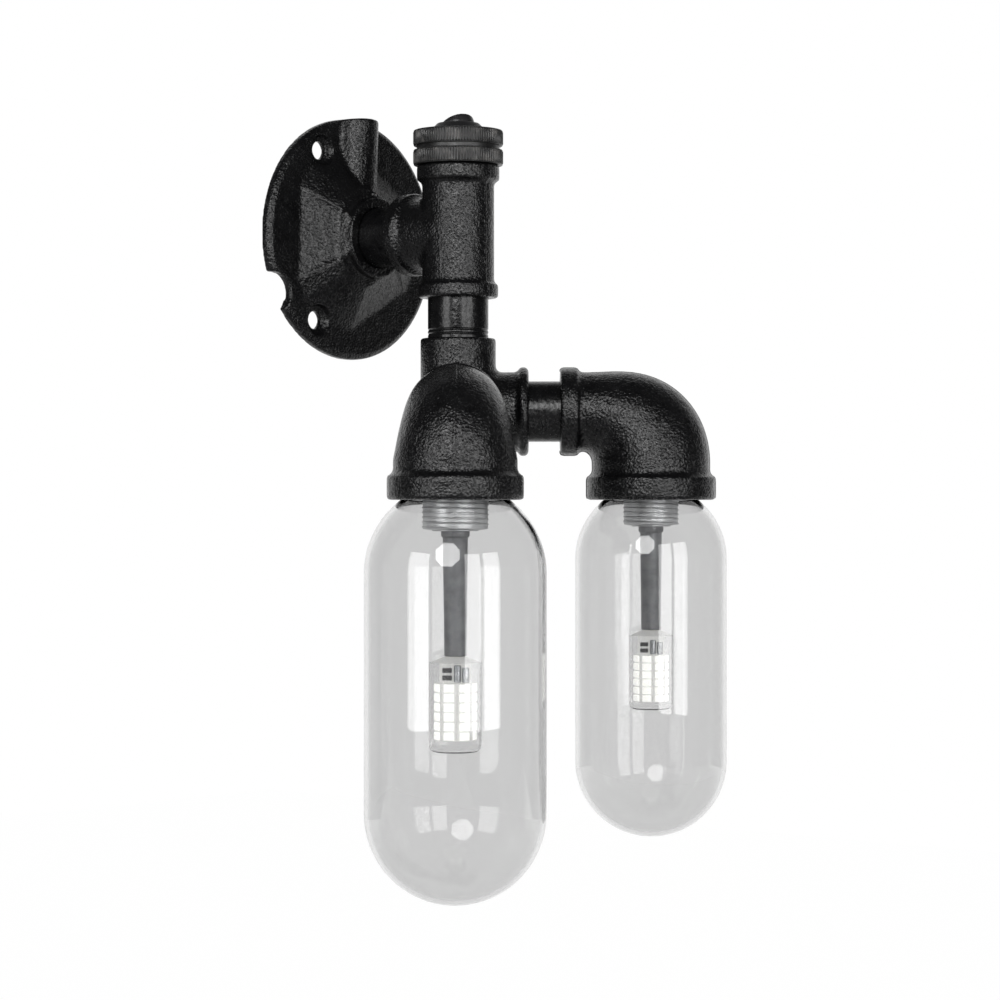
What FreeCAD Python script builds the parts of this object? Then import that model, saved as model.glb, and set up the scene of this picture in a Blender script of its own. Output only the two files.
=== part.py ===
import FreeCAD, Part
import math
import os

# Industrial pipe wall light: a cast wall flange, a tee with a rocker switch, a side-outlet corner
# fitting and two reducing elbows, each with a threaded lampholder, an LED lamp on a stem and a
# capsule glass.  Millimetres.  Origin: centre of the flange's back face on the wall.
# The wall is the plane Y = 0, the room is on the -Y side, +X is right seen from the room, +Z is up.

V = FreeCAD.Vector
ORIGIN = V(0, 0, 0)
X_AXIS, Y_AXIS, Z_AXIS = V(1, 0, 0), V(0, 1, 0), V(0, 0, 1)

# ---------------------------------------------------------------- driving dimensions
# Layout
COLUMN_OFFSET = 68.5        # wall to the vertical pipe axis
ARM_TURN = 49.5             # front arm, degrees from the wall's normal towards -X
ARM_LENGTH = 85.7           # column axis to each lamp axis
COLUMN_NIPPLE_SHOW = 17.9   # pipe that shows between the tee and the corner fitting

# Three-quarter-inch pipe and its threads
PIPE_OD = 26.9
PIPE_WALL = 2.6
THREAD_OD = 26.4            # effective size of the male thread
THREAD_GRIP = 9.0           # thread screwed into a port
THREAD_CLEAR = 0.1          # radial play of a male thread in its port
THREAD_PITCH = 1.8
THREAD_VALLEY = 1.2          # width of one thread groove at the crests
RUNOUT_GROOVES = 3          # thread turns that show below the column nipple
RUNOUT_DEPTH = 0.35

# Wall flange
FLANGE_D = 109.9
FLANGE_T = 5.0
FLANGE_BEVEL_W = 2.4
FLANGE_BEVEL_H = 1.4
FLANGE_TURN = -2.0          # casting pattern, degrees from upright
RIM_W = 4.4                 # flat ring of the back that meets the wall
BACK_RECESS = 1.0
HUB_FOOT_R = 41.5           # smooth cone between the legs, at the plate
HUB_HEAD_R = 21.0
HUB_HEAD_H = 15.5
HUB_WALL = 4.5
BORE_WALL = 2.3             # wall left around the threaded bore
LEG_FOOT = 35.2             # flat leg, axis to its foot edge
LEG_HEAD = 19.6
LEG_HEAD_H = 13.5
LEG_CROWN_H = 18.2          # plate's back to the top of a leg's steeper facet
LEG_COUNT = 3
LEG_SWEEP = 59.0            # degrees that one leg covers
BOSS_D = 36.6
BOSS_H = 20.5
CHANNEL_R = 10.0            # arched cable channel, outside
CHANNEL_WALL = 4.4
HOLE_D = 8.0
HOLE_PCD = 89.0
HOLE_COUNT = 3
SPOT_D = 13.6               # spot face, and the pad behind it that meets the wall
SPOT_DEPTH = 1.8
NOTCH_R = 9.5
NOTCH_PLACE = 57.2          # axis to the centre of the rim notch
NOTCH_ANGLE = 210.0

# Earth screw inside the hub
EARTH_R = 22.0              # axis to the screw
EARTH_ANGLE = 300.0
EARTH_PAD_D = 10.0
EARTH_PAD_H = 4.0           # wall to the pad's face
EARTH_SCREW_D = 4.0
EARTH_HEAD_D = 7.2
EARTH_HEAD_H = 2.2
EARTH_SCREW_L = 5.5
EARTH_SLOT_W = 0.9
EARTH_SLOT_DEPTH = 1.1
LUG_D = 8.0
LUG_T = 0.9
LUG_BARREL_D = 3.6
LUG_BARREL_L = 5.0

# Tee
TEE_REACH = 29.5            # centre to the top and bottom faces
TEE_BRANCH = 30.0           # centre to the wall-side face
TEE_BODY_D = 32.0
TEE_BRANCH_D = 32.5
TEE_TOP_BAND_D = 36.7
TEE_TOP_BAND_H = 7.1
TEE_LOW_BAND_D = 35.6
TEE_LOW_BAND_H = 6.4
TEE_BRANCH_BAND_D = 37.0
TEE_BRANCH_BAND_H = 6.6
TEE_WAY_D = 25.2            # cast way between the branch port and the run
TEE_PORT_DEPTH = 10.0       # threaded depth of the branch port
CAST_EDGE = 0.9             # rounding of a cast band's rims

# Corner fitting
CORNER_UP = 32.5            # arm axis to the top face
CORNER_REACH = 31.3         # column axis to an arm port's face
CORNER_TOP_D = 33.5
CORNER_BODY_D = 35.0
CORNER_BEAD_D = 39.6
CORNER_BEAD_W = 4.8
CORNER_BEAD_ROUND = 2.2

# Reducing elbow
ELBOW_INLET_REACH = 40.4    # lamp axis to the inlet face
ELBOW_DROP = 39.3           # arm axis to the outlet face
ELBOW_IN_D = 34.4
ELBOW_OUT_D = 52.0
ELBOW_THROAT_R = 5.4        # inner corner of the bend
ELBOW_SWELL = 2.0           # how late the bend rises: 1 follows the sine of the turn
ELBOW_SPREAD = 1.1          # how late it widens sideways: 1 follows the turn
ELBOW_WALL = 3.2
ELBOW_STEPS = 6
INLET_BAND_D = 38.8
INLET_BAND_W = 8.0
COLLAR_D = 57.2
COLLAR_H = 10.6
COLLAR_EDGE = 1.3
SEAT_BORE_D = 49.2          # counterbore that the glass neck enters
SEAT_BORE_H = 9.2
OUTLET_THREAD_D = 41.9
OUTLET_THREAD_TOP = 28.0    # outlet face to the end of the outlet thread

# Knurled rings and rocker switch on top of the tee
RING_D = 40.0
RING_H = 6.8
RING_EDGE = 0.9
NECK_D = 36.8
NECK_H = 1.8
CAP_SPIGOT_D = 30.0
CAP_SPIGOT_H = 3.9
CAP_ROOF_GAP = 0.2
SWITCH_BODY_D = 19.9
SWITCH_BODY_H = 17.0
SWITCH_WALL = 1.35
SWITCH_FLOOR = 2.0
SWITCH_CLEAR = 0.15         # switch body in its panel hole
PLUG_WALL = 2.6             # wall of the lower ring's threaded spigot
BEZEL_D = 24.0
BEZEL_H = 3.3
BEZEL_LIP = 0.5
BEZEL_SLOPE_W = 2.8
ROCKER_D = 15.4
ROCKER_PIVOT = 0.9          # pivot below the cap's face
ROCKER_CREST = 4.3          # pivot to the middle of the rocker's top
ROCKER_SKIRT = 1.0
ROCKER_SLOPE = 19.0         # each half's slope, degrees
ROCKER_SHOULDER = 4.0       # pivot to where the rocker's side starts to lean in
ROCKER_LEAN = 12.0          # lean of that side, degrees
ROCKER_TILT = 12.5          # tilt either side of level
ROCKER_TURN = 250.5         # direction of the raised end
PIN_D = 2.0
PIN_REACH = 9.4
PIN_CLEAR = 0.05
STUB_D = 5.2
STUB_L = 5.5
PLUNGER_D = 3.1
PLUNGER_CLEAR = 0.05
PLUNGER_TIP = 9.0
PLUNGER_HEAD = 3.5
SPRING_WALL = 0.5
SPRING_TOP = 1.5
BAR_L = 12.0
BAR_W = 4.0
BAR_T = 0.8
BAR_TOP = 9.35              # pivot to the contact bar's upper face
BAR_TILT = 5.0
BAR_RIB_R = 0.5             # round rib that the bar tips on
BAR_GAP = 0.3
BLADE_W = 4.8
BLADE_T = 0.8
BLADE_CLEAR = 0.05
BLADE_DROP = 7.4            # blade below the switch body
LOAD_BLADE = 4.5            # load blade, from the middle of the switch
RECEPTACLE_W = 6.6
RECEPTACLE_T = 3.4
RECEPTACLE_H = 7.5
RECEPTACLE_GRIP = 3.0       # blade inside its receptacle
CRIMP_DEPTH = 1.5

# Lampholder hardware, the same in both lamps
BORE_PLAY = 0.05            # radial play of a stud, stem or screw in its hole
HOLDER_PLUG_T = 6.0
PLUG_KEY_D = 4.0
PLUG_KEY_PLACE = 13.0
STUD_D = 10.0
STUD_BORE = 7.0
STUD_ABOVE = 5.0            # stud above the plug
STUD_BELOW = 4.0            # stud below the holder cap's roof
NUT_AF = 14.0
NUT_H = 3.2
HOLDER_ROOF = 2.5
HOLDER_WALL = 2.5
SHOULDER_D = 40.0
SHOULDER_T = 2.4
SHOULDER_Z = 6.8            # outlet face to the shoulder's underside
SLEEVE_PITCH = 2.0
SLEEVE_VALLEY = 1.3         # width of one thread groove at the crests
SLEEVE_DEPTH = 0.7
SLEEVE_FLOOR = 4.1
NOSE_H = 0.9                # bevelled nose below the sleeve
STEM_COLLAR_H = 2.8
STEM_COLLAR_OVER = 0.75     # collar beyond the stem, radial
STEM_NUT_AF = 15.0
STEM_NUT_H = 3.0
STEM_BORE = 5.8
SOCKET_L = 10.5
SOCKET_WALL = 0.75          # stem wall around the lamp socket
RING_PLAY = 0.2             # shade ring on the sleeve's thread
SHADE_RING_T = 3.0
SHADE_RING_W = 4.4
SHADE_RING_Z = 0.3          # outlet face to the ring's underside
GASKET_T = 1.5
GASKET_IN = 0.4             # gasket bore beyond the sleeve
GASKET_SEAT = 0.2           # gasket to the holder's shoulder
GLASS_WALL = 1.8
GLASS_HOLE_PLAY = 0.6
DOME_TOP_Z = 1.0            # where the dome turns into the neck

# LED lamp
LED_SEAT = 0.3              # stem tip to the lamp's cap
LED_PIN_D = 1.0
LED_PIN_L = 8.0
LED_PIN_SPACING = 4.0
LED_PIN_PLAY = 0.05
LED_CAP_H = 2.2
LED_DRIVER_H = 8.5          # driver parts between the cap and the first row
DRIVER_CAN_D = 5.4
DRIVER_CHIP_W = 3.2
DRIVER_SPINE_W = 8.0
DRIVER_SPINE_T = 1.4
DRIVER_AIR = 0.7            # driver parts to the lamp's cap
LED_SIDES = 8
LED_TURN = 27.4             # a side of the board from the arm's direction, degrees
LED_ROWS = 6
LED_COVER_WALL = 0.8
LED_AIR = 1.3               # chips to the cover, radial
LED_END_ROUND = 3.6
CHIP_T = 0.7
CHIP_FILL = 0.8             # chip height over the row pitch

# Wires
WIRE_D = 2.4
WIRE_BEND = 8.0
EARTH_BEND = 4.0
BEND_SHARE = 0.45           # share of the shorter run that a bend may take
WIRE_SLOT = 3.5             # wires from the column axis
WIRE_PAIR = 3.0             # spacing of a lamp's two wires
LEAD_D = 1.4
WIRE_START = 2.0            # wall to the wires' ends
WIRE_END_Z = 12.0           # outlet face to the end of the mains wires
EARTH_TAIL = 10.0           # each of the earth wire's two runs

# The two lamps differ in size
FRONT_SHADE_D = 76.2
RIGHT_SHADE_D = 67.4
FRONT_SHADE_DROP = 168.7
RIGHT_SHADE_DROP = 149.4
FRONT_NECK_D = 43.0
RIGHT_NECK_D = 39.6
FRONT_SLEEVE_D = 28.0
RIGHT_SLEEVE_D = 24.8
FRONT_SLEEVE_DROP = 12.1
RIGHT_SLEEVE_DROP = 10.9
FRONT_STEM_D = 10.5
RIGHT_STEM_D = 9.6
FRONT_STEM_TIP_D = 9.2
RIGHT_STEM_TIP_D = 8.6
FRONT_STEM_DROP = 65.0
RIGHT_STEM_DROP = 57.6
FRONT_LED_D = 22.0
RIGHT_LED_D = 19.6
FRONT_LED_DROP = 105.0
RIGHT_LED_DROP = 93.0
FRONT_ROW_PITCH = 4.0
RIGHT_ROW_PITCH = 3.5
FRONT_CHIP_W = 3.2
RIGHT_CHIP_W = 2.8

# ---------------------------------------------------------------- derived places
PORT_R = THREAD_OD / 2 + THREAD_CLEAR
TEE_FACE_H = COLUMN_OFFSET - TEE_BRANCH
CORNER_Z = -TEE_REACH - COLUMN_NIPPLE_SHOW - CORNER_UP      # height of the arm axis
OUTLET_Z = CORNER_Z - ELBOW_DROP                            # height of the outlet faces
CAP_FACE_Z = TEE_REACH + RING_H + NECK_H + RING_H           # top of the upper ring
PIVOT_Z = CAP_FACE_Z - ROCKER_PIVOT
SWITCH_BOTTOM_Z = CAP_FACE_Z - SWITCH_BODY_H
PLUG_Z = OUTLET_THREAD_TOP - HOLDER_PLUG_T                  # underside of the holder plug
FRONT_ARM = 270 - ARM_TURN
RIGHT_ARM = FRONT_ARM + 90
LUG_REACH = EARTH_PAD_D / 2 + LUG_T                         # earth screw to its lug's barrel
THROUGH = 1.0                                               # how far a cutter overshoots


class Lamp:
    """Sizes of one lamp, and the direction of its arm."""

    def __init__(self, angle, shade_d, shade_drop, neck_d, sleeve_d, sleeve_drop,
                 stem_d, stem_tip_d, stem_drop, led_d, led_drop, row_pitch, chip_w):
        self.angle = angle
        self.shade_r = shade_d / 2
        self.shade_drop = shade_drop
        self.neck_r = neck_d / 2
        self.sleeve_r = sleeve_d / 2
        self.sleeve_drop = sleeve_drop
        self.stem_r = stem_d / 2
        self.stem_tip_r = stem_tip_d / 2
        self.stem_drop = stem_drop
        self.led_r = led_d / 2
        self.led_drop = led_drop
        self.row_pitch = row_pitch
        self.chip_w = chip_w
        self.glass_top = SHOULDER_Z - GASKET_SEAT - GASKET_T
        self.socket_r = self.stem_tip_r - SOCKET_WALL
        self.led_top = -stem_drop - LED_SEAT
        self.board_r = self.led_r - LED_COVER_WALL - LED_AIR - CHIP_T


LAMPS = {
    "front": Lamp(FRONT_ARM, FRONT_SHADE_D, FRONT_SHADE_DROP, FRONT_NECK_D, FRONT_SLEEVE_D,
                  FRONT_SLEEVE_DROP, FRONT_STEM_D, FRONT_STEM_TIP_D, FRONT_STEM_DROP,
                  FRONT_LED_D, FRONT_LED_DROP, FRONT_ROW_PITCH, FRONT_CHIP_W),
    "right": Lamp(RIGHT_ARM, RIGHT_SHADE_D, RIGHT_SHADE_DROP, RIGHT_NECK_D, RIGHT_SLEEVE_D,
                  RIGHT_SLEEVE_DROP, RIGHT_STEM_D, RIGHT_STEM_TIP_D, RIGHT_STEM_DROP,
                  RIGHT_LED_D, RIGHT_LED_DROP, RIGHT_ROW_PITCH, RIGHT_CHIP_W),
}


# ---------------------------------------------------------------- small helpers
def rod(radius, low, high, x=0.0, y=0.0):
    """Round bar along Z between two heights."""
    return Part.makeCylinder(radius, high - low, V(x, y, low))


def tube(outer, inner, low, high):
    """Round tube along Z between two heights."""
    return rod(outer, low, high).cut(rod(inner, low - THROUGH, high + THROUGH))


def block(x0, x1, y0, y1, z0, z1):
    """Box between three pairs of limits."""
    return Part.makeBox(x1 - x0, y1 - y0, z1 - z0, V(x0, y0, z0))


def turned(profile):
    """Solid of revolution about Z from (radius, height) corners."""
    corners = [V(r, 0, z) for r, z in profile]
    face = Part.Face(Part.makePolygon(corners + corners[:1]))
    return face.revolve(ORIGIN, Z_AXIS, 360)


def band(radius, low, high, edge):
    """Cast band along Z whose two rims are rounded."""
    solid = rod(radius, low, high)
    rims = [e for e in solid.Edges if e.Curve.TypeId == "Part::GeomCircle"]
    return solid.makeFillet(edge, rims)


def polygon_wire(sides, apothem, height, turn=0.0):
    """Regular polygon at a height; the first flat faces the angle turn."""
    radius = apothem / math.cos(math.pi / sides)
    corners = []
    for i in range(sides + 1):
        angle = math.radians(turn) + (2 * (i % sides) + 1) * math.pi / sides
        corners.append(V(radius * math.cos(angle), radius * math.sin(angle), height))
    return Part.makePolygon(corners)


def polygon_bar(sides, apothem, low, high, turn=0.0):
    """Bar with a regular polygon for its section."""
    face = Part.Face(polygon_wire(sides, apothem, low, turn))
    return face.extrude(V(0, 0, high - low))


def nut_body(across_flats, bore, low, height):
    """Hexagonal nut along Z."""
    body = polygon_bar(6, across_flats / 2, low, low + height)
    return body.cut(rod(bore, low - THROUGH, low + height + THROUGH))


def fused(shapes):
    """One solid from overlapping ones."""
    return shapes[0].fuse(shapes[1:]).removeSplitter()


def moved(shape, x=0.0, y=0.0, z=0.0):
    """Copy shifted by a vector."""
    copy = shape.copy()
    copy.translate(V(x, y, z))
    return copy


def spun(shape, degrees, axis=Z_AXIS, centre=ORIGIN):
    """Copy turned about an axis."""
    copy = shape.copy()
    copy.rotate(centre, axis, degrees)
    return copy


def polar(radius, degrees):
    """Plan position at a radius and an angle."""
    return radius * math.cos(math.radians(degrees)), radius * math.sin(math.radians(degrees))


def along_x(shape):
    """Turn a shape that was built along Z so that it lies along +X."""
    return spun(shape, 90, Y_AXIS)


def along_y(shape):
    """Turn a shape that was built along Z so that it lies along +Y."""
    return spun(shape, -90, X_AXIS)


def on_wall(shape):
    """From wall coordinates (x, height, distance off the wall) to the part's frame."""
    return spun(shape, 90, X_AXIS)


def on_column(shape):
    """From a frame on the column axis, at the tee's height, to the part's frame."""
    return moved(shape, y=-COLUMN_OFFSET)


def on_lamp(shape, lamp):
    """From a lamp's frame, origin at its outlet face with +X outwards, to the part's frame."""
    out = moved(shape, x=ARM_LENGTH, z=OUTLET_Z)
    return on_column(spun(out, lamp.angle))


def on_switch(shape, tilt=0.0, pivot_drop=0.0):
    """From the rocker's frame, +X to its raised end, to the part's frame."""
    tipped = spun(shape, tilt, Y_AXIS, V(0, 0, -pivot_drop))
    return on_column(spun(moved(tipped, z=PIVOT_Z), ROCKER_TURN))


# ---------------------------------------------------------------- pipes
def nipple(show, grooves=0):
    """Pipe nipple along Z; its shoulders lie at 0 and at show, its threads reach beyond them."""
    pipe, thread, bore = PIPE_OD / 2, THREAD_OD / 2, PIPE_OD / 2 - PIPE_WALL
    profile = [(bore, -THREAD_GRIP), (thread, -THREAD_GRIP), (thread, 0), (pipe, 0)]
    for i in range(grooves):
        valley = (i + 1) * THREAD_PITCH
        profile += [(pipe, valley - THREAD_VALLEY / 2), (pipe - RUNOUT_DEPTH, valley),
                    (pipe, valley + THREAD_VALLEY / 2)]
    profile += [(pipe, show), (thread, show), (thread, show + THREAD_GRIP),
                (bore, show + THREAD_GRIP)]
    return turned(profile)


def flange_nipple():
    """Pipe between the flange's boss and the tee's branch."""
    return on_wall(moved(nipple(TEE_FACE_H - BOSS_H), z=BOSS_H))


def column_nipple():
    """Pipe between the tee and the corner fitting."""
    return on_column(moved(nipple(COLUMN_NIPPLE_SHOW, RUNOUT_GROOVES), z=CORNER_Z + CORNER_UP))


def arm_nipple(lamp):
    """Pipe between the corner fitting and an elbow."""
    show = ARM_LENGTH - ELBOW_INLET_REACH - CORNER_REACH
    pipe = moved(along_x(nipple(show)), x=CORNER_REACH, z=CORNER_Z)
    return on_column(spun(pipe, lamp.angle))


# ---------------------------------------------------------------- wall flange
def leg_sectors():
    """The three wedges, as high as the boss, that the legs fill."""
    reach = 2 * LEG_FOOT
    half = math.radians(LEG_SWEEP / 2)
    sector = Part.Face(Part.makePolygon([
        ORIGIN, V(reach, -reach * math.tan(half), 0), V(reach, reach * math.tan(half), 0), ORIGIN]))
    sector = sector.extrude(V(0, 0, BOSS_H))
    return [spun(sector, (i + 0.5) * 360 / LEG_COUNT) for i in range(LEG_COUNT)]


def flange_legs():
    """Three flat-faced legs around the hub, each with a steeper second facet."""
    foot = polygon_wire(2 * LEG_COUNT, LEG_FOOT, FLANGE_T)
    head = polygon_wire(2 * LEG_COUNT, LEG_HEAD, LEG_HEAD_H)
    pyramid = Part.makeLoft([foot, head], True, True)
    brow = polygon_wire(2 * LEG_COUNT, BOSS_D / 2, LEG_CROWN_H)
    crown = Part.makeLoft([head, brow], True, True)
    return [facet.common(sector) for facet in (pyramid, crown) for sector in leg_sectors()]


def channel_bar(radius, low, start, end):
    """Arch along +Y: straight sides from the height low up to the plate, then a half circle."""
    arch = moved(along_y(rod(radius, start, end)), z=FLANGE_T)
    sides = block(-radius, radius, start, end, low, FLANGE_T)
    return arch.common(block(-radius, radius, start, end, low, FLANGE_T + radius)).fuse(sides)


def wall_flange():
    """Cast wall flange: plate, hub, legs, cable channel, notch, screw holes and hollow back."""
    radius = FLANGE_D / 2
    plate = turned([(0, 0), (radius, 0), (radius, FLANGE_T - FLANGE_BEVEL_H),
                    (radius - FLANGE_BEVEL_W, FLANGE_T), (0, FLANGE_T)])
    cone = Part.makeCone(HUB_FOOT_R, HUB_HEAD_R, HUB_HEAD_H - FLANGE_T, V(0, 0, FLANGE_T))
    cone = cone.cut(leg_sectors())
    boss = rod(BOSS_D / 2, 0, BOSS_H)
    channel = channel_bar(CHANNEL_R, 0, 0, radius + THROUGH).common(rod(radius, 0, BOSS_H))
    solid = fused([plate, cone, boss, channel] + flange_legs())

    bore_low = BOSS_H - THREAD_GRIP
    recess = rod(radius - RIM_W, -THROUGH, BACK_RECESS)
    hollow = Part.makeCone(HUB_FOOT_R - HUB_WALL - BACK_RECESS, PORT_R + BORE_WALL,
                           bore_low - BACK_RECESS, V(0, 0, BACK_RECESS))
    bore = rod(PORT_R, 0, BOSS_H + THROUGH)
    way = channel_bar(CHANNEL_R - CHANNEL_WALL, -THROUGH, HUB_HEAD_R, radius + THROUGH)
    body = solid.cut([recess, hollow, bore, way])

    for i in range(HOLE_COUNT):
        x, y = polar(HOLE_PCD / 2, i * 360 / HOLE_COUNT)
        body = body.fuse(rod(SPOT_D / 2, 0, FLANGE_T - SPOT_DEPTH, x, y))
        body = body.cut(rod(HOLE_D / 2, -THROUGH, BOSS_H, x, y))
        body = body.cut(rod(SPOT_D / 2, FLANGE_T - SPOT_DEPTH, BOSS_H, x, y))
    x, y = polar(NOTCH_PLACE, NOTCH_ANGLE)
    body = body.cut(rod(NOTCH_R, -THROUGH, BOSS_H, x, y))

    x, y = polar(EARTH_R, EARTH_ANGLE)
    pad = rod(EARTH_PAD_D / 2, EARTH_PAD_H, HUB_HEAD_H - BORE_WALL, x, y).common(solid)
    pad = pad.cut(rod(PORT_R + BORE_WALL, 0, BOSS_H))
    screw_hole = rod(EARTH_SCREW_D / 2 + BORE_PLAY, 0, EARTH_PAD_H + EARTH_SCREW_L + THREAD_CLEAR, x, y)
    body = fused([body, pad]).cut(screw_hole)
    return on_wall(spun(body, FLANGE_TURN))


def earth_place(shape):
    """Put a piece that was built on the earth screw's axis into the flange."""
    x, y = polar(EARTH_R, EARTH_ANGLE)
    return on_wall(spun(moved(shape, x, y), FLANGE_TURN))


def earth_screw():
    """Pan-head screw that clamps the earth lug, driven from the back."""
    seat = EARTH_PAD_H - LUG_T
    head = rod(EARTH_HEAD_D / 2, seat - EARTH_HEAD_H, seat)
    slot = block(-EARTH_HEAD_D, EARTH_HEAD_D, -EARTH_SLOT_W / 2, EARTH_SLOT_W / 2,
                 seat - EARTH_HEAD_H - THROUGH, seat - EARTH_HEAD_H + EARTH_SLOT_DEPTH)
    shank = rod(EARTH_SCREW_D / 2, seat - EARTH_HEAD_H + EARTH_SLOT_DEPTH, EARTH_PAD_H + EARTH_SCREW_L)
    return earth_place(fused([head.cut(slot), shank]))


def earth_lug():
    """Ring terminal under the earth screw, with its crimp barrel towards the hub's middle."""
    low = EARTH_PAD_H - LUG_T
    middle = EARTH_PAD_H - LUG_T / 2
    ring = rod(LUG_D / 2, low, EARTH_PAD_H)
    tongue = block(0, LUG_REACH + THROUGH, -LUG_BARREL_D / 2, LUG_BARREL_D / 2, low, EARTH_PAD_H)
    tongue = tongue.cut(moved(along_x(rod(WIRE_D / 2, LUG_REACH, LUG_REACH + LUG_BARREL_L)), z=middle))
    barrel = along_x(tube(LUG_BARREL_D / 2, WIRE_D / 2, LUG_REACH, LUG_REACH + LUG_BARREL_L))
    barrel = moved(barrel, z=middle)
    lug = fused([ring, tongue, barrel]).cut(rod(EARTH_SCREW_D / 2 + BORE_PLAY, 0, EARTH_PAD_H + THROUGH))
    return earth_place(spun(lug, EARTH_ANGLE + 180))


# ---------------------------------------------------------------- fittings
def switch_tee():
    """Cast tee: the run stands upright, the branch points at the wall."""
    run = rod(TEE_BODY_D / 2, -TEE_REACH, TEE_REACH)
    branch = along_y(rod(TEE_BRANCH_D / 2, 0, TEE_BRANCH))
    top = band(TEE_TOP_BAND_D / 2, TEE_REACH - TEE_TOP_BAND_H, TEE_REACH, CAST_EDGE)
    low = band(TEE_LOW_BAND_D / 2, -TEE_REACH, TEE_LOW_BAND_H - TEE_REACH, CAST_EDGE)
    side = along_y(band(TEE_BRANCH_BAND_D / 2, TEE_BRANCH - TEE_BRANCH_BAND_H, TEE_BRANCH, CAST_EDGE))
    body = fused([run, branch, top, low, side])
    run_bore = rod(PORT_R, -TEE_REACH - THROUGH, TEE_REACH + THROUGH)
    branch_way = along_y(rod(TEE_WAY_D / 2, 0, TEE_BRANCH))
    branch_port = along_y(rod(PORT_R, TEE_BRANCH - TEE_PORT_DEPTH, TEE_BRANCH + THROUGH))
    return on_column(body.cut([run_bore, branch_way, branch_port]))


def corner_fitting():
    """Cast side-outlet elbow: ports up, along the front arm (+X) and along the right arm (+Y)."""
    core = Part.makeSphere(CORNER_BODY_D / 2)
    riser = band(CORNER_TOP_D / 2, 0, CORNER_UP, CAST_EDGE)
    port = rod(CORNER_BODY_D / 2, 0, CORNER_REACH - CORNER_BEAD_W / 2)
    bead = band(CORNER_BEAD_D / 2, CORNER_REACH - CORNER_BEAD_W, CORNER_REACH, CORNER_BEAD_ROUND)
    body = fused([core, riser, along_x(port), along_x(bead), along_y(port), along_y(bead)])
    bore = rod(PORT_R, 0, CORNER_REACH + THROUGH)
    cutters = [Part.makeSphere(PORT_R), rod(PORT_R, 0, CORNER_UP + THROUGH), along_x(bore), along_y(bore)]
    return on_column(spun(moved(body.cut(cutters), z=CORNER_Z), FRONT_ARM))


def quarter_ring(centre, up, rise, half_width):
    """Ellipse of four arcs about a centre; its plane holds the Y axis and the direction up."""
    ends = [up * rise, Y_AXIS * half_width, up * -rise, Y_AXIS * -half_width]
    arcs = []
    for start, end in zip(ends, ends[1:] + ends[:1]):
        arc = Part.BezierCurve()
        arc.setPoles([centre + start, centre + start + end, centre + end])
        arc.setWeight(2, math.sqrt(0.5))
        arcs.append(arc.toShape())
    return Part.Wire(arcs)


def bend_sections(shrink):
    """Ellipses along the elbow's bend, from its inlet round to its outlet, drawn in by shrink."""
    narrow, wide = ELBOW_IN_D / 2, ELBOW_OUT_D / 2
    pivot_x = -(ELBOW_THROAT_R + wide)
    pivot_z = ELBOW_DROP - narrow - ELBOW_THROAT_R
    wires = []
    for step in range(ELBOW_STEPS + 1):
        share = step / ELBOW_STEPS
        sine, cosine = math.sin(math.pi / 2 * share), math.cos(math.pi / 2 * share)
        rise = narrow + (wide - narrow) * sine ** (ELBOW_SWELL - sine)
        half_width = narrow + (wide - narrow) * share ** ELBOW_SPREAD
        reach = ELBOW_THROAT_R + rise
        centre = V(pivot_x + reach * sine, 0, pivot_z + reach * cosine)
        wires.append(quarter_ring(centre, V(sine, 0, cosine), rise - shrink, half_width - shrink))
    return wires


def elbow(lamp):
    """Cast reducing elbow: inlet towards the column, outlet down, hollow all through."""
    pivot_x = -(ELBOW_THROAT_R + ELBOW_OUT_D / 2)
    pivot_z = ELBOW_DROP - ELBOW_IN_D / 2 - ELBOW_THROAT_R
    bend = Part.makeLoft(bend_sections(0), True, False)
    inlet = moved(along_x(rod(ELBOW_IN_D / 2, -ELBOW_INLET_REACH, pivot_x)), z=ELBOW_DROP)
    inlet_band = band(INLET_BAND_D / 2, -ELBOW_INLET_REACH, INLET_BAND_W - ELBOW_INLET_REACH, CAST_EDGE)
    skirt = rod(ELBOW_OUT_D / 2, COLLAR_H / 2, pivot_z)
    collar = band(COLLAR_D / 2, 0, COLLAR_H, COLLAR_EDGE)
    body = fused([bend, inlet, moved(along_x(inlet_band), z=ELBOW_DROP), skirt, collar])

    cavity = Part.makeLoft(bend_sections(ELBOW_WALL), True, False)
    inlet_bore = moved(along_x(rod(PORT_R, -ELBOW_INLET_REACH - THROUGH, pivot_x + THROUGH)), z=ELBOW_DROP)
    outlet_bore = rod(OUTLET_THREAD_D / 2, -THROUGH, OUTLET_THREAD_TOP)
    seat_bore = rod(SEAT_BORE_D / 2, -THROUGH, SEAT_BORE_H)
    return on_lamp(body.cut([cavity, inlet_bore, outlet_bore, seat_bore]), lamp)


# ---------------------------------------------------------------- switch
def ring_body(low):
    """One knurled ring with bevelled rims, from the height low up."""
    outer = RING_D / 2
    return turned([(0, low), (outer - RING_EDGE, low), (outer, low + RING_EDGE),
                   (outer, low + RING_H - RING_EDGE), (outer - RING_EDGE, low + RING_H),
                   (0, low + RING_H)])


def switch_plug():
    """Lower ring: threaded into the tee, with a neck and a spigot for the upper ring."""
    neck_z = TEE_REACH + RING_H
    seat_z = neck_z + NECK_H
    spigot = rod(THREAD_OD / 2, TEE_REACH - THREAD_GRIP, TEE_REACH)
    neck = rod(NECK_D / 2, neck_z, seat_z)
    head = rod(CAP_SPIGOT_D / 2, seat_z, seat_z + CAP_SPIGOT_H)
    bore = rod(THREAD_OD / 2 - PLUG_WALL, 0, CAP_FACE_Z)
    return on_column(fused([spigot, ring_body(TEE_REACH), neck, head]).cut(bore))


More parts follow.
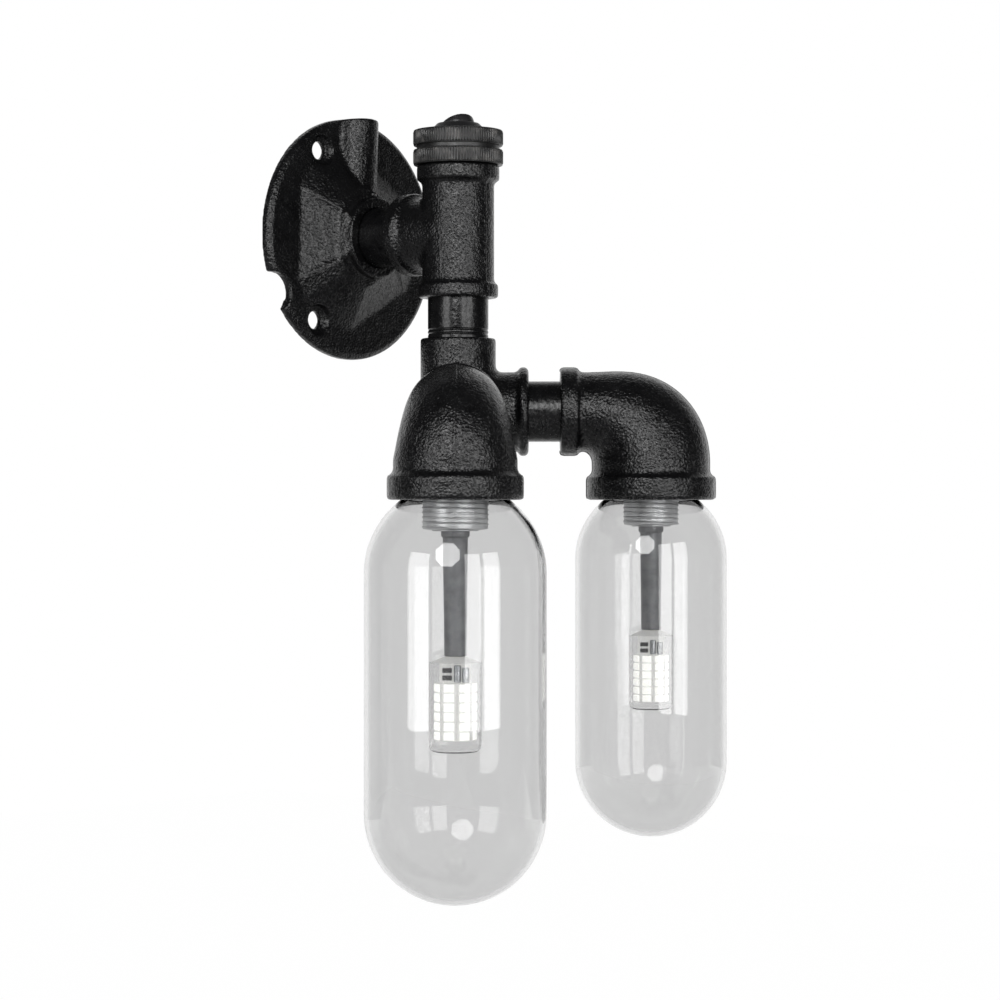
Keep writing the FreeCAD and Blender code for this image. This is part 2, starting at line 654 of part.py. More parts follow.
def switch_cap():
    """Upper ring: a screwed cap that carries the rocker switch."""
    low = TEE_REACH + RING_H + NECK_H
    counterbore = rod(CAP_SPIGOT_D / 2 + THREAD_CLEAR, 0, low + CAP_SPIGOT_H + CAP_ROOF_GAP)
    hole = rod(SWITCH_BODY_D / 2 + SWITCH_CLEAR, 0, CAP_FACE_Z + THROUGH)
    return on_column(ring_body(low).cut([counterbore, hole]))


def blade_slot(place, low, high):
    """Room for a blade terminal, in the rocker's frame."""
    half_t = BLADE_T / 2 + BLADE_CLEAR
    half_w = BLADE_W / 2 + BLADE_CLEAR
    return block(place - half_t, place + half_t, -half_w, half_w, low, high)


def switch_housing():
    """Round snap-in switch body with its bezel; heights are from the pivot."""
    face = ROCKER_PIVOT
    inner = SWITCH_BODY_D / 2 - SWITCH_WALL
    bottom = face - SWITCH_BODY_H
    shell = rod(SWITCH_BODY_D / 2, bottom, face)
    outer = BEZEL_D / 2
    bezel = turned([(0, face), (outer, face), (outer, face + BEZEL_LIP),
                    (outer - BEZEL_SLOPE_W, face + BEZEL_H), (0, face + BEZEL_H)])
    room = rod(inner, bottom + SWITCH_FLOOR, face + BEZEL_H + THROUGH)
    pins = along_y(rod(PIN_D / 2 + PIN_CLEAR, -SWITCH_BODY_D, SWITCH_BODY_D))
    slots = [blade_slot(place, bottom - THROUGH, face - SWITCH_BODY_H + SWITCH_FLOOR + THROUGH)
             for place in (0, LOAD_BLADE)]
    return on_switch(fused([shell, bezel]).cut([room, pins] + slots))


def switch_rocker():
    """Rocker with two sloping halves, pivot pins and a guide for the plunger."""
    reach = ROCKER_D
    rise = reach * math.tan(math.radians(ROCKER_SLOPE))
    top = ROCKER_CREST + rise + THROUGH
    drawn_in = (top - ROCKER_SHOULDER) * math.tan(math.radians(ROCKER_LEAN))
    button = turned([(0, -ROCKER_SKIRT), (ROCKER_D / 2, -ROCKER_SKIRT), (ROCKER_D / 2, ROCKER_SHOULDER),
                     (ROCKER_D / 2 - drawn_in, top), (0, top)])
    valley = Part.Face(Part.makePolygon([
        V(-reach, -reach, ROCKER_CREST + rise), V(0, -reach, ROCKER_CREST),
        V(reach, -reach, ROCKER_CREST + rise), V(reach, -reach, top + THROUGH),
        V(-reach, -reach, top + THROUGH), V(-reach, -reach, ROCKER_CREST + rise)]))
    button = button.cut(valley.extrude(V(0, 2 * reach, 0)))
    pins = along_y(rod(PIN_D / 2, -PIN_REACH, PIN_REACH))
    stub = rod(STUB_D / 2, -STUB_L, 0)
    guide = rod(PLUNGER_D / 2 + PLUNGER_CLEAR, -STUB_L - THROUGH, -SPRING_TOP)
    return on_switch(fused([button, pins, stub]).cut(guide), -ROCKER_TILT)


def switch_plunger():
    """Round-nosed plunger that presses on the contact bar."""
    radius = PLUNGER_D / 2
    nose = Part.makeSphere(radius, V(0, 0, radius - PLUNGER_TIP))
    return on_switch(fused([nose, rod(radius, radius - PLUNGER_TIP, -PLUNGER_HEAD)]), -ROCKER_TILT)


def switch_spring():
    """Spring above the plunger, as its outer envelope."""
    radius = PLUNGER_D / 2
    return on_switch(tube(radius, radius - SPRING_WALL, -PLUNGER_HEAD, -SPRING_TOP), -ROCKER_TILT)


def switch_contact_bar():
    """Rocking contact: a flat bar that tips on a round rib below its middle."""
    axis = BAR_TOP + BAR_T
    bar = block(-BAR_L / 2, BAR_L / 2, -BAR_W / 2, BAR_W / 2, -axis, -BAR_TOP)
    bar = bar.fuse(moved(along_y(rod(BAR_RIB_R, -BAR_W / 2, BAR_W / 2)), z=-axis))
    return on_switch(bar, BAR_TILT, axis)


def switch_terminal(place):
    """Blade terminal at a distance from the middle; the middle one ends in a saddle for the rib."""
    axis = BAR_TOP + BAR_T
    top = -axis - BAR_GAP - abs(place) * math.tan(math.radians(BAR_TILT))
    bottom = ROCKER_PIVOT - SWITCH_BODY_H - BLADE_DROP
    blade = block(place - BLADE_T / 2, place + BLADE_T / 2, -BLADE_W / 2, BLADE_W / 2, bottom, top)
    return on_switch(blade.cut(moved(along_y(rod(BAR_RIB_R + BORE_PLAY, -BLADE_W, BLADE_W)), z=-axis)))


def wire_receptacles():
    """Push-on receptacles on the two blades, with crimped wire entries below."""
    blade_low = ROCKER_PIVOT - SWITCH_BODY_H - BLADE_DROP
    high = blade_low + RECEPTACLE_GRIP
    low = high - RECEPTACLE_H
    entries = {0: (0,), LOAD_BLADE: (-WIRE_PAIR / 2, WIRE_PAIR / 2)}
    made = []
    for place, wires in entries.items():
        body = block(place - RECEPTACLE_T / 2, place + RECEPTACLE_T / 2,
                     -RECEPTACLE_W / 2, RECEPTACLE_W / 2, low, high)
        body = body.cut(blade_slot(place, blade_low, high + THROUGH))
        for y in wires:
            body = body.cut(rod(WIRE_D / 2, low - THROUGH, low + CRIMP_DEPTH, place, y))
        made.append(on_switch(body))
    return Part.makeCompound(made)


# ---------------------------------------------------------------- lampholder
def holder_plug(lamp):
    """Threaded disc in the elbow's outlet that carries the lampholder."""
    disc = rod(OUTLET_THREAD_D / 2 - THREAD_CLEAR, PLUG_Z, PLUG_Z + HOLDER_PLUG_T)
    cutters = [rod(STUD_D / 2 + BORE_PLAY, 0, PLUG_Z + HOLDER_PLUG_T + THROUGH)]
    for side in (-1, 1):
        cutters.append(rod(PLUG_KEY_D / 2, 0, PLUG_Z + HOLDER_PLUG_T + THROUGH, 0, side * PLUG_KEY_PLACE))
    return on_lamp(disc.cut(cutters), lamp)


def holder_stud(lamp):
    """Hollow threaded stud through the plug and the holder's cap."""
    low = PLUG_Z - HOLDER_ROOF - STUD_BELOW
    high = PLUG_Z + HOLDER_PLUG_T + STUD_ABOVE
    return on_lamp(tube(STUD_D / 2, STUD_BORE / 2, low, high), lamp)


def stud_nuts(lamp):
    """Two nuts on the stud: above the plug and inside the cap."""
    nuts = []
    for low in (PLUG_Z + HOLDER_PLUG_T, PLUG_Z - HOLDER_ROOF - NUT_H):
        nuts.append(on_lamp(nut_body(NUT_AF, STUD_D / 2 + BORE_PLAY, low, NUT_H), lamp))
    return Part.makeCompound(nuts)


def holder_cap(lamp):
    """Upper half of the lampholder, hung from the plug by the stud."""
    low = SHOULDER_Z + SHOULDER_T
    outside = rod(lamp.sleeve_r, low, PLUG_Z)
    inside = rod(lamp.sleeve_r - HOLDER_WALL, 0, PLUG_Z - HOLDER_ROOF)
    hole = rod(STUD_D / 2 + BORE_PLAY, 0, PLUG_Z + THROUGH)
    return on_lamp(outside.cut([inside, hole]), lamp)


def lampholder(lamp):
    """Lower half of the lampholder: shoulder, threaded sleeve and bevelled nose."""
    crest, root = lamp.sleeve_r, lamp.sleeve_r - SLEEVE_DEPTH
    bottom = -lamp.sleeve_drop
    top = SHOULDER_Z + SHOULDER_T
    nose = lamp.stem_r + (crest - lamp.stem_r) / 2
    profile = [(0, bottom - NOSE_H), (nose, bottom - NOSE_H), (nose, bottom - NOSE_H / 2), (crest, bottom)]
    turns = int((SHADE_RING_Z - bottom) / SLEEVE_PITCH)
    for i in range(turns):
        valley = bottom + (i + 0.5) * SLEEVE_PITCH
        profile += [(crest, valley - SLEEVE_VALLEY / 2), (root, valley), (crest, valley + SLEEVE_VALLEY / 2)]
    profile += [(crest, SHOULDER_Z), (SHOULDER_D / 2, SHOULDER_Z), (SHOULDER_D / 2, top), (0, top)]
    room = rod(crest - HOLDER_WALL, bottom + SLEEVE_FLOOR, top + THROUGH)
    hole = rod(lamp.stem_r + BORE_PLAY, bottom - NOSE_H - THROUGH, 0)
    return on_lamp(turned(profile).cut([room, hole]), lamp)


def lamp_stem(lamp):
    """Tapered hollow stem with a collar below the sleeve and a seat for the lamp socket."""
    nose_z = -lamp.sleeve_drop - NOSE_H
    top = -lamp.sleeve_drop + SLEEVE_FLOOR + STEM_NUT_H + THROUGH
    collar_r = lamp.stem_r + STEM_COLLAR_OVER
    collar_z = nose_z - STEM_COLLAR_H
    tip = -lamp.stem_drop
    outside = turned([(0, top), (lamp.stem_r, top), (lamp.stem_r, nose_z), (collar_r, nose_z),
                      (collar_r, collar_z + STEM_COLLAR_OVER), (lamp.stem_r, collar_z),
                      (lamp.stem_tip_r, tip), (0, tip)])
    bore = rod(STEM_BORE / 2, tip - THROUGH, top + THROUGH)
    seat = rod(lamp.socket_r + BORE_PLAY, tip - THROUGH, tip + SOCKET_L)
    return on_lamp(outside.cut([bore, seat]), lamp)


def stem_nut(lamp):
    """Nut that holds the stem in the lampholder's floor."""
    low = -lamp.sleeve_drop + SLEEVE_FLOOR
    return on_lamp(nut_body(STEM_NUT_AF, lamp.stem_r + BORE_PLAY, low, STEM_NUT_H), lamp)


def stem_socket(lamp):
    """Ceramic two-pin socket in the tip of the stem."""
    tip = -lamp.stem_drop
    body = rod(lamp.socket_r, tip, tip + SOCKET_L)
    holes = [rod(LED_PIN_D / 2 + LED_PIN_PLAY, tip - THROUGH, tip + LED_PIN_L, 0, side * LED_PIN_SPACING / 2)
             for side in (-1, 1)]
    return on_lamp(body.cut(holes), lamp)


def stem_leads(lamp):
    """Two thin leads from the mains wires down the stem to the socket."""
    low = -lamp.stem_drop + SOCKET_L
    leads = [on_lamp(rod(LEAD_D / 2, low, WIRE_END_Z, 0, side * WIRE_PAIR / 2), lamp) for side in (-1, 1)]
    return Part.makeCompound(leads)


def shade_ring(lamp):
    """Threaded ring that clamps the glass from below."""
    inner = lamp.sleeve_r + RING_PLAY
    return on_lamp(tube(inner + SHADE_RING_W, inner, SHADE_RING_Z, SHADE_RING_Z + SHADE_RING_T), lamp)


def shade_gasket(lamp):
    """Silicone ring between the glass and the lampholder's shoulder."""
    inner = lamp.sleeve_r + GASKET_IN
    return on_lamp(tube(lamp.neck_r - GLASS_WALL, inner, lamp.glass_top, lamp.glass_top + GASKET_T), lamp)


def glass_shade(lamp):
    """Capsule glass: round bottom, straight wall, round shoulder and a short flat-topped neck."""
    outer, wall = lamp.shade_r, GLASS_WALL
    inner = outer - wall
    neck, hole = lamp.neck_r, lamp.sleeve_r + GLASS_HOLE_PLAY
    bottom, top = -lamp.shade_drop, lamp.glass_top
    low_centre = bottom + outer
    high_centre = DOME_TOP_Z - math.sqrt(outer ** 2 - neck ** 2)
    inner_turn = high_centre + math.sqrt(inner ** 2 - (neck - wall) ** 2)
    shelf = SHADE_RING_Z + SHADE_RING_T

    def arc(radius, centre_z, start_r, start_z, end_r, end_z):
        """Arc of a dome between two points of it."""
        middle = V((start_r + end_r) / 2, 0, (start_z + end_z) / 2 - centre_z)
        middle = middle.normalize() * radius
        return Part.Arc(V(start_r, 0, start_z), middle + V(0, 0, centre_z), V(end_r, 0, end_z)).toShape()

    def line(r0, z0, r1, z1):
        """Straight stretch of the section."""
        return Part.makeLine(V(r0, 0, z0), V(r1, 0, z1))

    edges = [
        arc(outer, low_centre, 0, bottom, outer, low_centre),
        line(outer, low_centre, outer, high_centre),
        arc(outer, high_centre, outer, high_centre, neck, DOME_TOP_Z),
        line(neck, DOME_TOP_Z, neck, top - wall / 2),
        line(neck, top - wall / 2, neck - wall / 2, top),
        line(neck - wall / 2, top, hole, top),
        line(hole, top, hole, shelf),
        line(hole, shelf, neck - wall, shelf),
        line(neck - wall, shelf, neck - wall, inner_turn),
        arc(inner, high_centre, neck - wall, inner_turn, inner, high_centre),
        line(inner, high_centre, inner, low_centre),
        arc(inner, low_centre, inner, low_centre, 0, bottom + wall),
        line(0, bottom + wall, 0, bottom),
    ]
    return on_lamp(Part.Face(Part.Wire(edges)).revolve(ORIGIN, Z_AXIS, 360), lamp)


# ---------------------------------------------------------------- LED lamp
def led_cap(lamp):
    """Moulded lamp cap with its two pins."""
    top = lamp.led_top
    cap = Part.makeCone(lamp.led_r - LED_COVER_WALL, lamp.stem_tip_r, LED_CAP_H, V(0, 0, top - LED_CAP_H))
    pins = [rod(LED_PIN_D / 2, top - LED_CAP_H / 2, top + LED_PIN_L - LED_SEAT - LED_PIN_PLAY,
                0, side * LED_PIN_SPACING / 2) for side in (-1, 1)]
    return on_lamp(fused([cap] + pins), lamp)


def led_board_limits(lamp):
    """Heights of the lamp's board: its foot and the top of its chip rows."""
    rows_top = lamp.led_top - LED_CAP_H - LED_DRIVER_H
    return rows_top - LED_ROWS * lamp.row_pitch, rows_top


def led_board(lamp):
    """Eight-sided board with a driver deck above it, up to the cap."""
    foot, rows_top = led_board_limits(lamp)
    deck_top = lamp.led_top - LED_CAP_H
    prism = polygon_bar(LED_SIDES, lamp.board_r, foot, rows_top, LED_TURN)
    half_t, half_w = DRIVER_SPINE_T / 2, DRIVER_SPINE_W / 2
    spine = block(-half_t, half_t, -half_w, half_w, rows_top, deck_top)
    can = rod(DRIVER_CAN_D / 2, rows_top, deck_top - DRIVER_AIR, DRIVER_CAN_D / 2, 0)
    chip_block = block(-half_t - DRIVER_CHIP_W, 0, -DRIVER_CHIP_W / 2, DRIVER_CHIP_W / 2,
                       rows_top, deck_top - DRIVER_CHIP_W)
    return on_lamp(fused([prism, spine, can, chip_block]), lamp)


def led_chips(lamp):
    """Chips on the board's eight sides, row by row."""
    foot, _ = led_board_limits(lamp)
    height = lamp.row_pitch * CHIP_FILL
    gap = (lamp.row_pitch - height) / 2
    half_w = lamp.chip_w / 2
    chips = []
    for side in range(LED_SIDES):
        for row in range(LED_ROWS):
            low = foot + row * lamp.row_pitch + gap
            chip = block(lamp.board_r, lamp.board_r + CHIP_T, -half_w, half_w, low, low + height)
            chips.append(on_lamp(spun(chip, LED_TURN + side * 360 / LED_SIDES), lamp))
    return Part.makeCompound(chips)


def led_cover(lamp):
    """Clear cover over the board, closed by a flat end with a round edge."""
    def capsule(radius, low, high, edge):
        """Round bar whose lower rim is rounded."""
        solid = rod(radius, low, high)
        rim = [e for e in solid.Edges if e.CenterOfMass.z < low + THROUGH / 2]
        return solid.makeFillet(edge, rim)

    top, bottom = lamp.led_top - LED_CAP_H, -lamp.led_drop
    outside = capsule(lamp.led_r, bottom, top, LED_END_ROUND)
    inside = capsule(lamp.led_r - LED_COVER_WALL, bottom + LED_COVER_WALL, top + THROUGH,
                     LED_END_ROUND - LED_COVER_WALL)
    return on_lamp(outside.cut(inside), lamp)


# ---------------------------------------------------------------- wires
def wire_path(points, bend):
    """Straight runs joined by tangent arcs; a bend is smaller where its runs are short."""
    edges = []
    start = points[0]
    for i in range(1, len(points) - 1):
        before, corner, after = points[i - 1], points[i], points[i + 1]
        into, out = (corner - before).normalize(), (after - corner).normalize()
        turn = into.getAngle(out)
        room = BEND_SHARE * min((corner - before).Length, (after - corner).Length)
        setback = min(bend * math.tan(turn / 2), room)
        radius = setback / math.tan(turn / 2)
        first, last = corner - into * setback, corner + out * setback
        inward = (out - into).normalize()
        middle = corner + inward * (radius / math.cos(turn / 2) - radius)
        edges.append(Part.makeLine(start, first))
        edges.append(Part.Arc(first, middle, last).toShape())
        start = last
    edges.append(Part.makeLine(start, points[-1]))
    return Part.Wire(edges)


def wire_tube(points, diameter=WIRE_D, bend=WIRE_BEND):
    """Insulated wire swept along a path; prints how close its volume is to section times length."""
    path = wire_path(points, bend)
    direction = (points[1] - points[0]).normalize()
    section = Part.Wire(Part.makeCircle(diameter / 2, points[0], direction))
    solid = path.makePipeShell([section], True, True)
    ideal = math.pi * diameter ** 2 / 4 * path.Length
    print("wire length %.1f mm, volume over section times length %.4f" % (path.Length, solid.Volume / ideal))
    return solid


def column_point(front, right, z):
    """Point given by its distances along the front and right arms from the column axis."""
    fx, fy = polar(1, FRONT_ARM)
    rx, ry = polar(1, RIGHT_ARM)
    return V(front * fx + right * rx, front * fy + right * ry - COLUMN_OFFSET, z)


def switch_point(along, across, z):
    """Point given by its place on the switch, along and across its raised end's direction."""
    ax, ay = polar(1, ROCKER_TURN)
    return V(along * ax - across * ay, along * ay + across * ax - COLUMN_OFFSET, z)


def lamp_run(name, side):
    """Wire route of one lamp from the column to the lampholder; side picks the wire of the pair."""
    offset = side * WIRE_PAIR / 2
    stops = [(WIRE_SLOT, -TEE_REACH / 2), (WIRE_SLOT, CORNER_Z), (ARM_LENGTH, CORNER_Z),
             (ARM_LENGTH, OUTLET_Z + WIRE_END_Z)]
    if name == "front":
        return [column_point(reach, offset, z) for reach, z in stops]
    return [column_point(offset, reach, z) for reach, z in stops]


def wire_entry_z():
    """Height at which the wires enter the switch's receptacles."""
    return SWITCH_BOTTOM_Z - BLADE_DROP + RECEPTACLE_GRIP - RECEPTACLE_H + CRIMP_DEPTH


def wire_load(name):
    """Switched live wire of a lamp, from the load receptacle."""
    across = WIRE_PAIR / 2 if name == "right" else -WIRE_PAIR / 2
    top = wire_entry_z()
    run = lamp_run(name, 1)
    start = [switch_point(LOAD_BLADE, across, top), switch_point(LOAD_BLADE, across, top / 2)]
    return wire_tube(start + [V(run[0].x, run[0].y, 0)] + run[1:])


def wire_neutral(name):
    """Neutral wire of a lamp, from the wall along the flange nipple and down the column."""
    run = lamp_run(name, -1)
    height = -WIRE_D
    return wire_tube([V(run[0].x, -WIRE_START, height), V(run[0].x, run[0].y, height)] + run[1:])


def wire_line():
    """Live wire from the wall to the switch's middle blade."""
    height = WIRE_D
    return wire_tube([V(0, -WIRE_START, height), V(0, -COLUMN_OFFSET, height),
                      V(0, -COLUMN_OFFSET, wire_entry_z())])


def wire_earth():
    """Earth wire from the wall side to the barrel of the lug."""
    depth = -(EARTH_PAD_H - LUG_T / 2)
    angle = EARTH_ANGLE + FLANGE_TURN
    barrel_x, barrel_z = polar(EARTH_R - LUG_REACH - LUG_BARREL_L / 2, angle)
    turn_x, turn_z = polar(EARTH_R - LUG_REACH - EARTH_TAIL, angle)
    return wire_tube([V(turn_x - EARTH_TAIL, depth, turn_z), V(turn_x, depth, turn_z),
                      V(barrel_x, depth, barrel_z)], bend=EARTH_BEND)


# ---------------------------------------------------------------- nodes
def all_nodes():
    """Every sub-part under the name of its node."""
    nodes = {
        "wall_flange": wall_flange(),
        "earth_screw": earth_screw(),
        "earth_lug": earth_lug(),
        "flange_nipple": flange_nipple(),
        "switch_tee": switch_tee(),
        "switch_plug": switch_plug(),
        "switch_cap": switch_cap(),
        "switch_housing": switch_housing(),
        "switch_rocker": switch_rocker(),
        "switch_plunger": switch_plunger(),
        "switch_spring": switch_spring(),
        "switch_contact_bar": switch_contact_bar(),
        "switch_terminal_line": switch_terminal(0),
        "switch_terminal_load": switch_terminal(LOAD_BLADE),
        "wire_receptacles": wire_receptacles(),
        "column_nipple": column_nipple(),
        "corner_fitting": corner_fitting(),
        "wire_line": wire_line(),
        "wire_earth": wire_earth(),
    }
    builders = (arm_nipple, elbow, holder_plug, holder_stud, stud_nuts, holder_cap, lampholder,
                lamp_stem, stem_nut, stem_socket, stem_leads, shade_ring, shade_gasket, glass_shade,
                led_cap, led_board, led_chips, led_cover)
    for name, lamp in LAMPS.items():
        for build in builders:
            nodes[build.__name__ + "_" + name] = build(lamp)
        nodes["wire_load_" + name] = wire_load(name)
        nodes["wire_neutral_" + name] = wire_neutral(name)
    return nodes


def main():
    """Build every node, report it and write its STEP file."""
    os.makedirs("parts", exist_ok=True)
    nodes = all_nodes()
    for name, shape in nodes.items():
        valid = all(solid.isValid() for solid in shape.Solids)
        print("%-24s solids %3d  valid %s  volume %.1f mm3" % (name, len(shape.Solids), valid, shape.Volume))
        shape.exportStep("parts/%s.step" % name)
    print("%d nodes" % len(nodes))


main()
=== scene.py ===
import logging
import math
from contextlib import contextmanager
from dataclasses import dataclass, field
from enum import Enum
from typing import Callable, Iterator, Optional, Union

import bmesh
import bpy
import numpy as np
from mathutils import Matrix, Vector


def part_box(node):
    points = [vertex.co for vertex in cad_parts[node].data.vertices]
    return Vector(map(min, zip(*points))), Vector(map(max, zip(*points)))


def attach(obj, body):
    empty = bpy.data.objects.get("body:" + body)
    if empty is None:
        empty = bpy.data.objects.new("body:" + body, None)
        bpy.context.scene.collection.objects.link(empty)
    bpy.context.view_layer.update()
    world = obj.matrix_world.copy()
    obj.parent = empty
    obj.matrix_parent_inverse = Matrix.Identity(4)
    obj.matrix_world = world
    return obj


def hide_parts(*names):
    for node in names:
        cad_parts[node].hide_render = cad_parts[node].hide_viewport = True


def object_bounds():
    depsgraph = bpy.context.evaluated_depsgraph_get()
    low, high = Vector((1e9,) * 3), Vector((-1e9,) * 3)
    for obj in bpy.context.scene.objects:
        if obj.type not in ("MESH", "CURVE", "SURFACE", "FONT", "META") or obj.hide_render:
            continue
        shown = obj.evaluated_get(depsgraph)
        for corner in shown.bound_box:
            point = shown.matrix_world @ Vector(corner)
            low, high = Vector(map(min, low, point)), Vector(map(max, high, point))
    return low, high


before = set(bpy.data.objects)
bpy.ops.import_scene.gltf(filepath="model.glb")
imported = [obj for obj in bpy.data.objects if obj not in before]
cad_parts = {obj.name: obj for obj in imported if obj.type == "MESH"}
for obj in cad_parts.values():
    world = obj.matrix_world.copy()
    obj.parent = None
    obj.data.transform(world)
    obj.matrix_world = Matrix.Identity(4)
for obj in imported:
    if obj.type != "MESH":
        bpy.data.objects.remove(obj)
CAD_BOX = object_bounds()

# Looks of an industrial pipe wall light.  Sub-assemblies are drawn in millimetres about their own
# axes and placed by a matrix; the part's frame is in metres, with the wall at Y = 0 and +Z up.

LOG = logging.getLogger("pipe_wall_light")
MM = 0.001
TAU = 2 * math.pi
SHARP = 40.0                        # degrees past which an edge stays crisp
DOUBLES, TINY = 1e-6, 1e-7          # distances under which points and edges are merged
HAIR, FINE, SOFT, FULL, BROAD = 0.1, 0.2, 0.3, 0.4, 0.5     # usual roundings of corners, in millimetres
WHITE = "#FFFFFF"

Tree = bpy.types.NodeTree
Socket = bpy.types.NodeSocket
Mesh = bpy.types.Mesh
Piece = bpy.types.Object
Material = bpy.types.Material
Pair = tuple[float, float]
Size = tuple[float, float, float]
Profile = list[Pair]
Corners = list[Size]


class Body(Enum):
    """Bodies that pieces ride on; the shades and lamps add their own name to the last two."""

    FRAME = "frame"
    ROCKER = "rocker"
    SHADE = "shade_"
    LAMP = "led_"


class Slot(Enum):
    """Material slots of the record."""

    CASTING = "black_casting"
    PIPE = "black_pipe"
    RING = "black_knurled_ring"
    SWITCH_BODY = "switch_body"
    BUTTON = "switch_button"
    BRASS = "brass"
    ZINC = "zinc_steel"
    HOLDER = "holder_metal"
    STEM = "stem_metal"
    CERAMIC = "ceramic"
    LEAD = "lead_insulation"
    SILICONE = "silicone"
    GLASS = "clear_glass"
    LAMP_PLASTIC = "lamp_plastic"
    BOARD = "lamp_board"
    PHOSPHOR = "led_phosphor"
    COVER = "clear_cover"
    LIVE = "live_insulation"
    NEUTRAL = "neutral_insulation"
    EARTH = "earth_insulation"


# ---------------------------------------------------------------- colour and nodes
def srgb(code: str) -> tuple[float, float, float, float]:
    """Turn an sRGB hex value into Blender's linear colour.

    Args:
        code: six hex digits after a hash sign.

    Returns:
        Red, green, blue and an alpha of one.
    """
    shares = [int(code[i:i + 2], 16) / 255 for i in (1, 3, 5)]
    red, green, blue = [c / 12.92 if c <= 0.04045 else ((c + 0.055) / 1.055) ** 2.4 for c in shares]
    return red, green, blue, 1.0


def add_node(tree: Tree, kind: str, inputs: Optional[dict] = None, **settings) -> bpy.types.Node:
    """Add one node with its settings, values and links.

    Args:
        tree: node tree that takes the node.
        kind: Blender's identifier of the node type.
        inputs: value or output socket for each input, by name or index.
        **settings: properties of the node itself.

    Returns:
        The new node.
    """
    made = tree.nodes.new(kind)
    for name, value in settings.items():
        setattr(made, name, value)
    for key, value in (inputs or {}).items():
        if isinstance(value, Socket):
            tree.links.new(value, made.inputs[key])
        else:
            made.inputs[key].default_value = value
    return made


MIX_SOCKETS = {"RGBA": (6, 7, 2), "FLOAT": (2, 3, 0)}       # first and second input, and the output


def blend(tree: Tree, kind: str, share: Socket, first: object, second: object) -> Socket:
    """Blend of two colours (kind RGBA) or numbers (kind FLOAT), by a share of the second."""
    one, two, out = MIX_SOCKETS[kind]
    return add_node(tree, "ShaderNodeMix", {0: share, one: first, two: second}, data_type=kind).outputs[out]


def ramp(tree: Tree, value: Socket, band: Pair, low: float = 0.0, high: float = 1.0, **settings) -> Socket:
    """Carry a value from a band to the range from low to high, and hold it at both ends.

    Args:
        tree: node tree that takes the nodes.
        value: socket of the value.
        band: values that become low and high.
        low: result at the band's start.
        high: result at the band's end.
        **settings: properties of the node itself.

    Returns:
        The result's socket.
    """
    return add_node(tree, "ShaderNodeMapRange", {
        "Value": value, "From Min": band[0], "From Max": band[1], "To Min": low, "To Max": high},
        **settings).outputs[0]


def noise(tree: Tree, place: Socket, size: float, detail: float) -> Socket:
    """Noise whose blobs are about size millimetres across, with octaves of finer detail."""
    return add_node(tree, "ShaderNodeTexNoise", {
        "Vector": place, "Scale": 1 / (size * MM), "Detail": detail}).outputs[0]


def cleared(owner: Union[Material, bpy.types.World]) -> Tree:
    """Empty node tree of a new material or world.

    Args:
        owner: new material or world.

    Returns:
        The empty tree.
    """
    owner.use_nodes = True
    owner.node_tree.nodes.clear()
    return owner.node_tree


def close_surface(tree: Tree, shader: bpy.types.Node) -> None:
    """End a material's tree in its shader."""
    add_node(tree, "ShaderNodeOutputMaterial", {"Surface": shader.outputs[0]})


# ---------------------------------------------------------------- finishes
PATCH_BAND = (0.38, 0.62)           # noise between which the two tones of a finish blend
GLOSS_BAND = (0.3, 0.7)             # noise between which its roughness varies
PIT_BAND = (0.35, 0.65)             # noise between which a pit turns into skin
RUB_BAND = (0.5, 0.66)              # noise that breaks up the wear
RUB_SIZE = 1.6                      # size of the breaks in the wear, over the size of the patches
WEAR_WIDTH = 0.06                   # convexity from the first wear to the full
GLOSS_SHARE = 3                     # patches of gloss are this many times finer than those of colour
WAVE_DETAIL, GRAIN_DETAIL, PATCH_DETAIL, FINE_DETAIL = 2.0, 2.5, 3.0, 4.0


@dataclass(frozen=True)
class Surface:
    """A real surface, with sizes in millimetres.  Its kinds say what their shader is."""

    name: str
    slot: Slot
    colour: str
    roughness: float
    grain: float = 0.5              # size of the bump's grain
    depth: float = 0.0              # height of the grain
    wave: float = 5.0               # size of the slow unevenness under the grain
    wave_depth: float = 0.0

    def material(self) -> Material:
        """Make the material once and give it out again after that.

        Returns:
            The material.
        """
        found = bpy.data.materials.get(self.name)
        if found:
            return found
        made = bpy.data.materials.new(self.name)
        tree = cleared(made)
        place = add_node(tree, "ShaderNodeTexCoord").outputs["Object"]
        lay = self.lay(tree, place)
        shader = self.shader(tree, place, lay)
        normal = self.relief(tree, place, lay)
        if normal:
            tree.links.new(normal, shader.inputs["Normal"])
        close_surface(tree, shader)
        return made

    def lay(self, tree: Tree, place: Socket) -> Socket:
        """Coordinates that the grain follows."""
        return place

    def shader(self, tree: Tree, place: Socket, lay: Socket) -> bpy.types.Node:
        """Shader of this kind of surface.

        Args:
            tree: material's tree.
            place: coordinates in metres.
            lay: coordinates stretched along the finish's lay.

        Returns:
            The shader's node.
        """
        raise NotImplementedError

    def relief(self, tree: Tree, place: Socket, lay: Socket) -> Optional[Socket]:
        """Bump of the slow unevenness and of the grain on it, or None on a smooth surface.

        Args:
            tree: node tree that takes the nodes.
            place: coordinates in metres.
            lay: coordinates stretched along the finish's lay.

        Returns:
            The normal's socket, or None.
        """
        normal = None
        for where, size, height, detail in ((place, self.wave, self.wave_depth, WAVE_DETAIL),
                                            (lay, self.grain, self.depth, GRAIN_DETAIL)):
            if height:
                bump = add_node(tree, "ShaderNodeBump", {
                    "Height": noise(tree, where, size, detail), "Distance": height * MM, "Strength": 1.0})
                if normal:
                    tree.links.new(normal, bump.inputs["Normal"])
                normal = bump.outputs[0]
        return normal


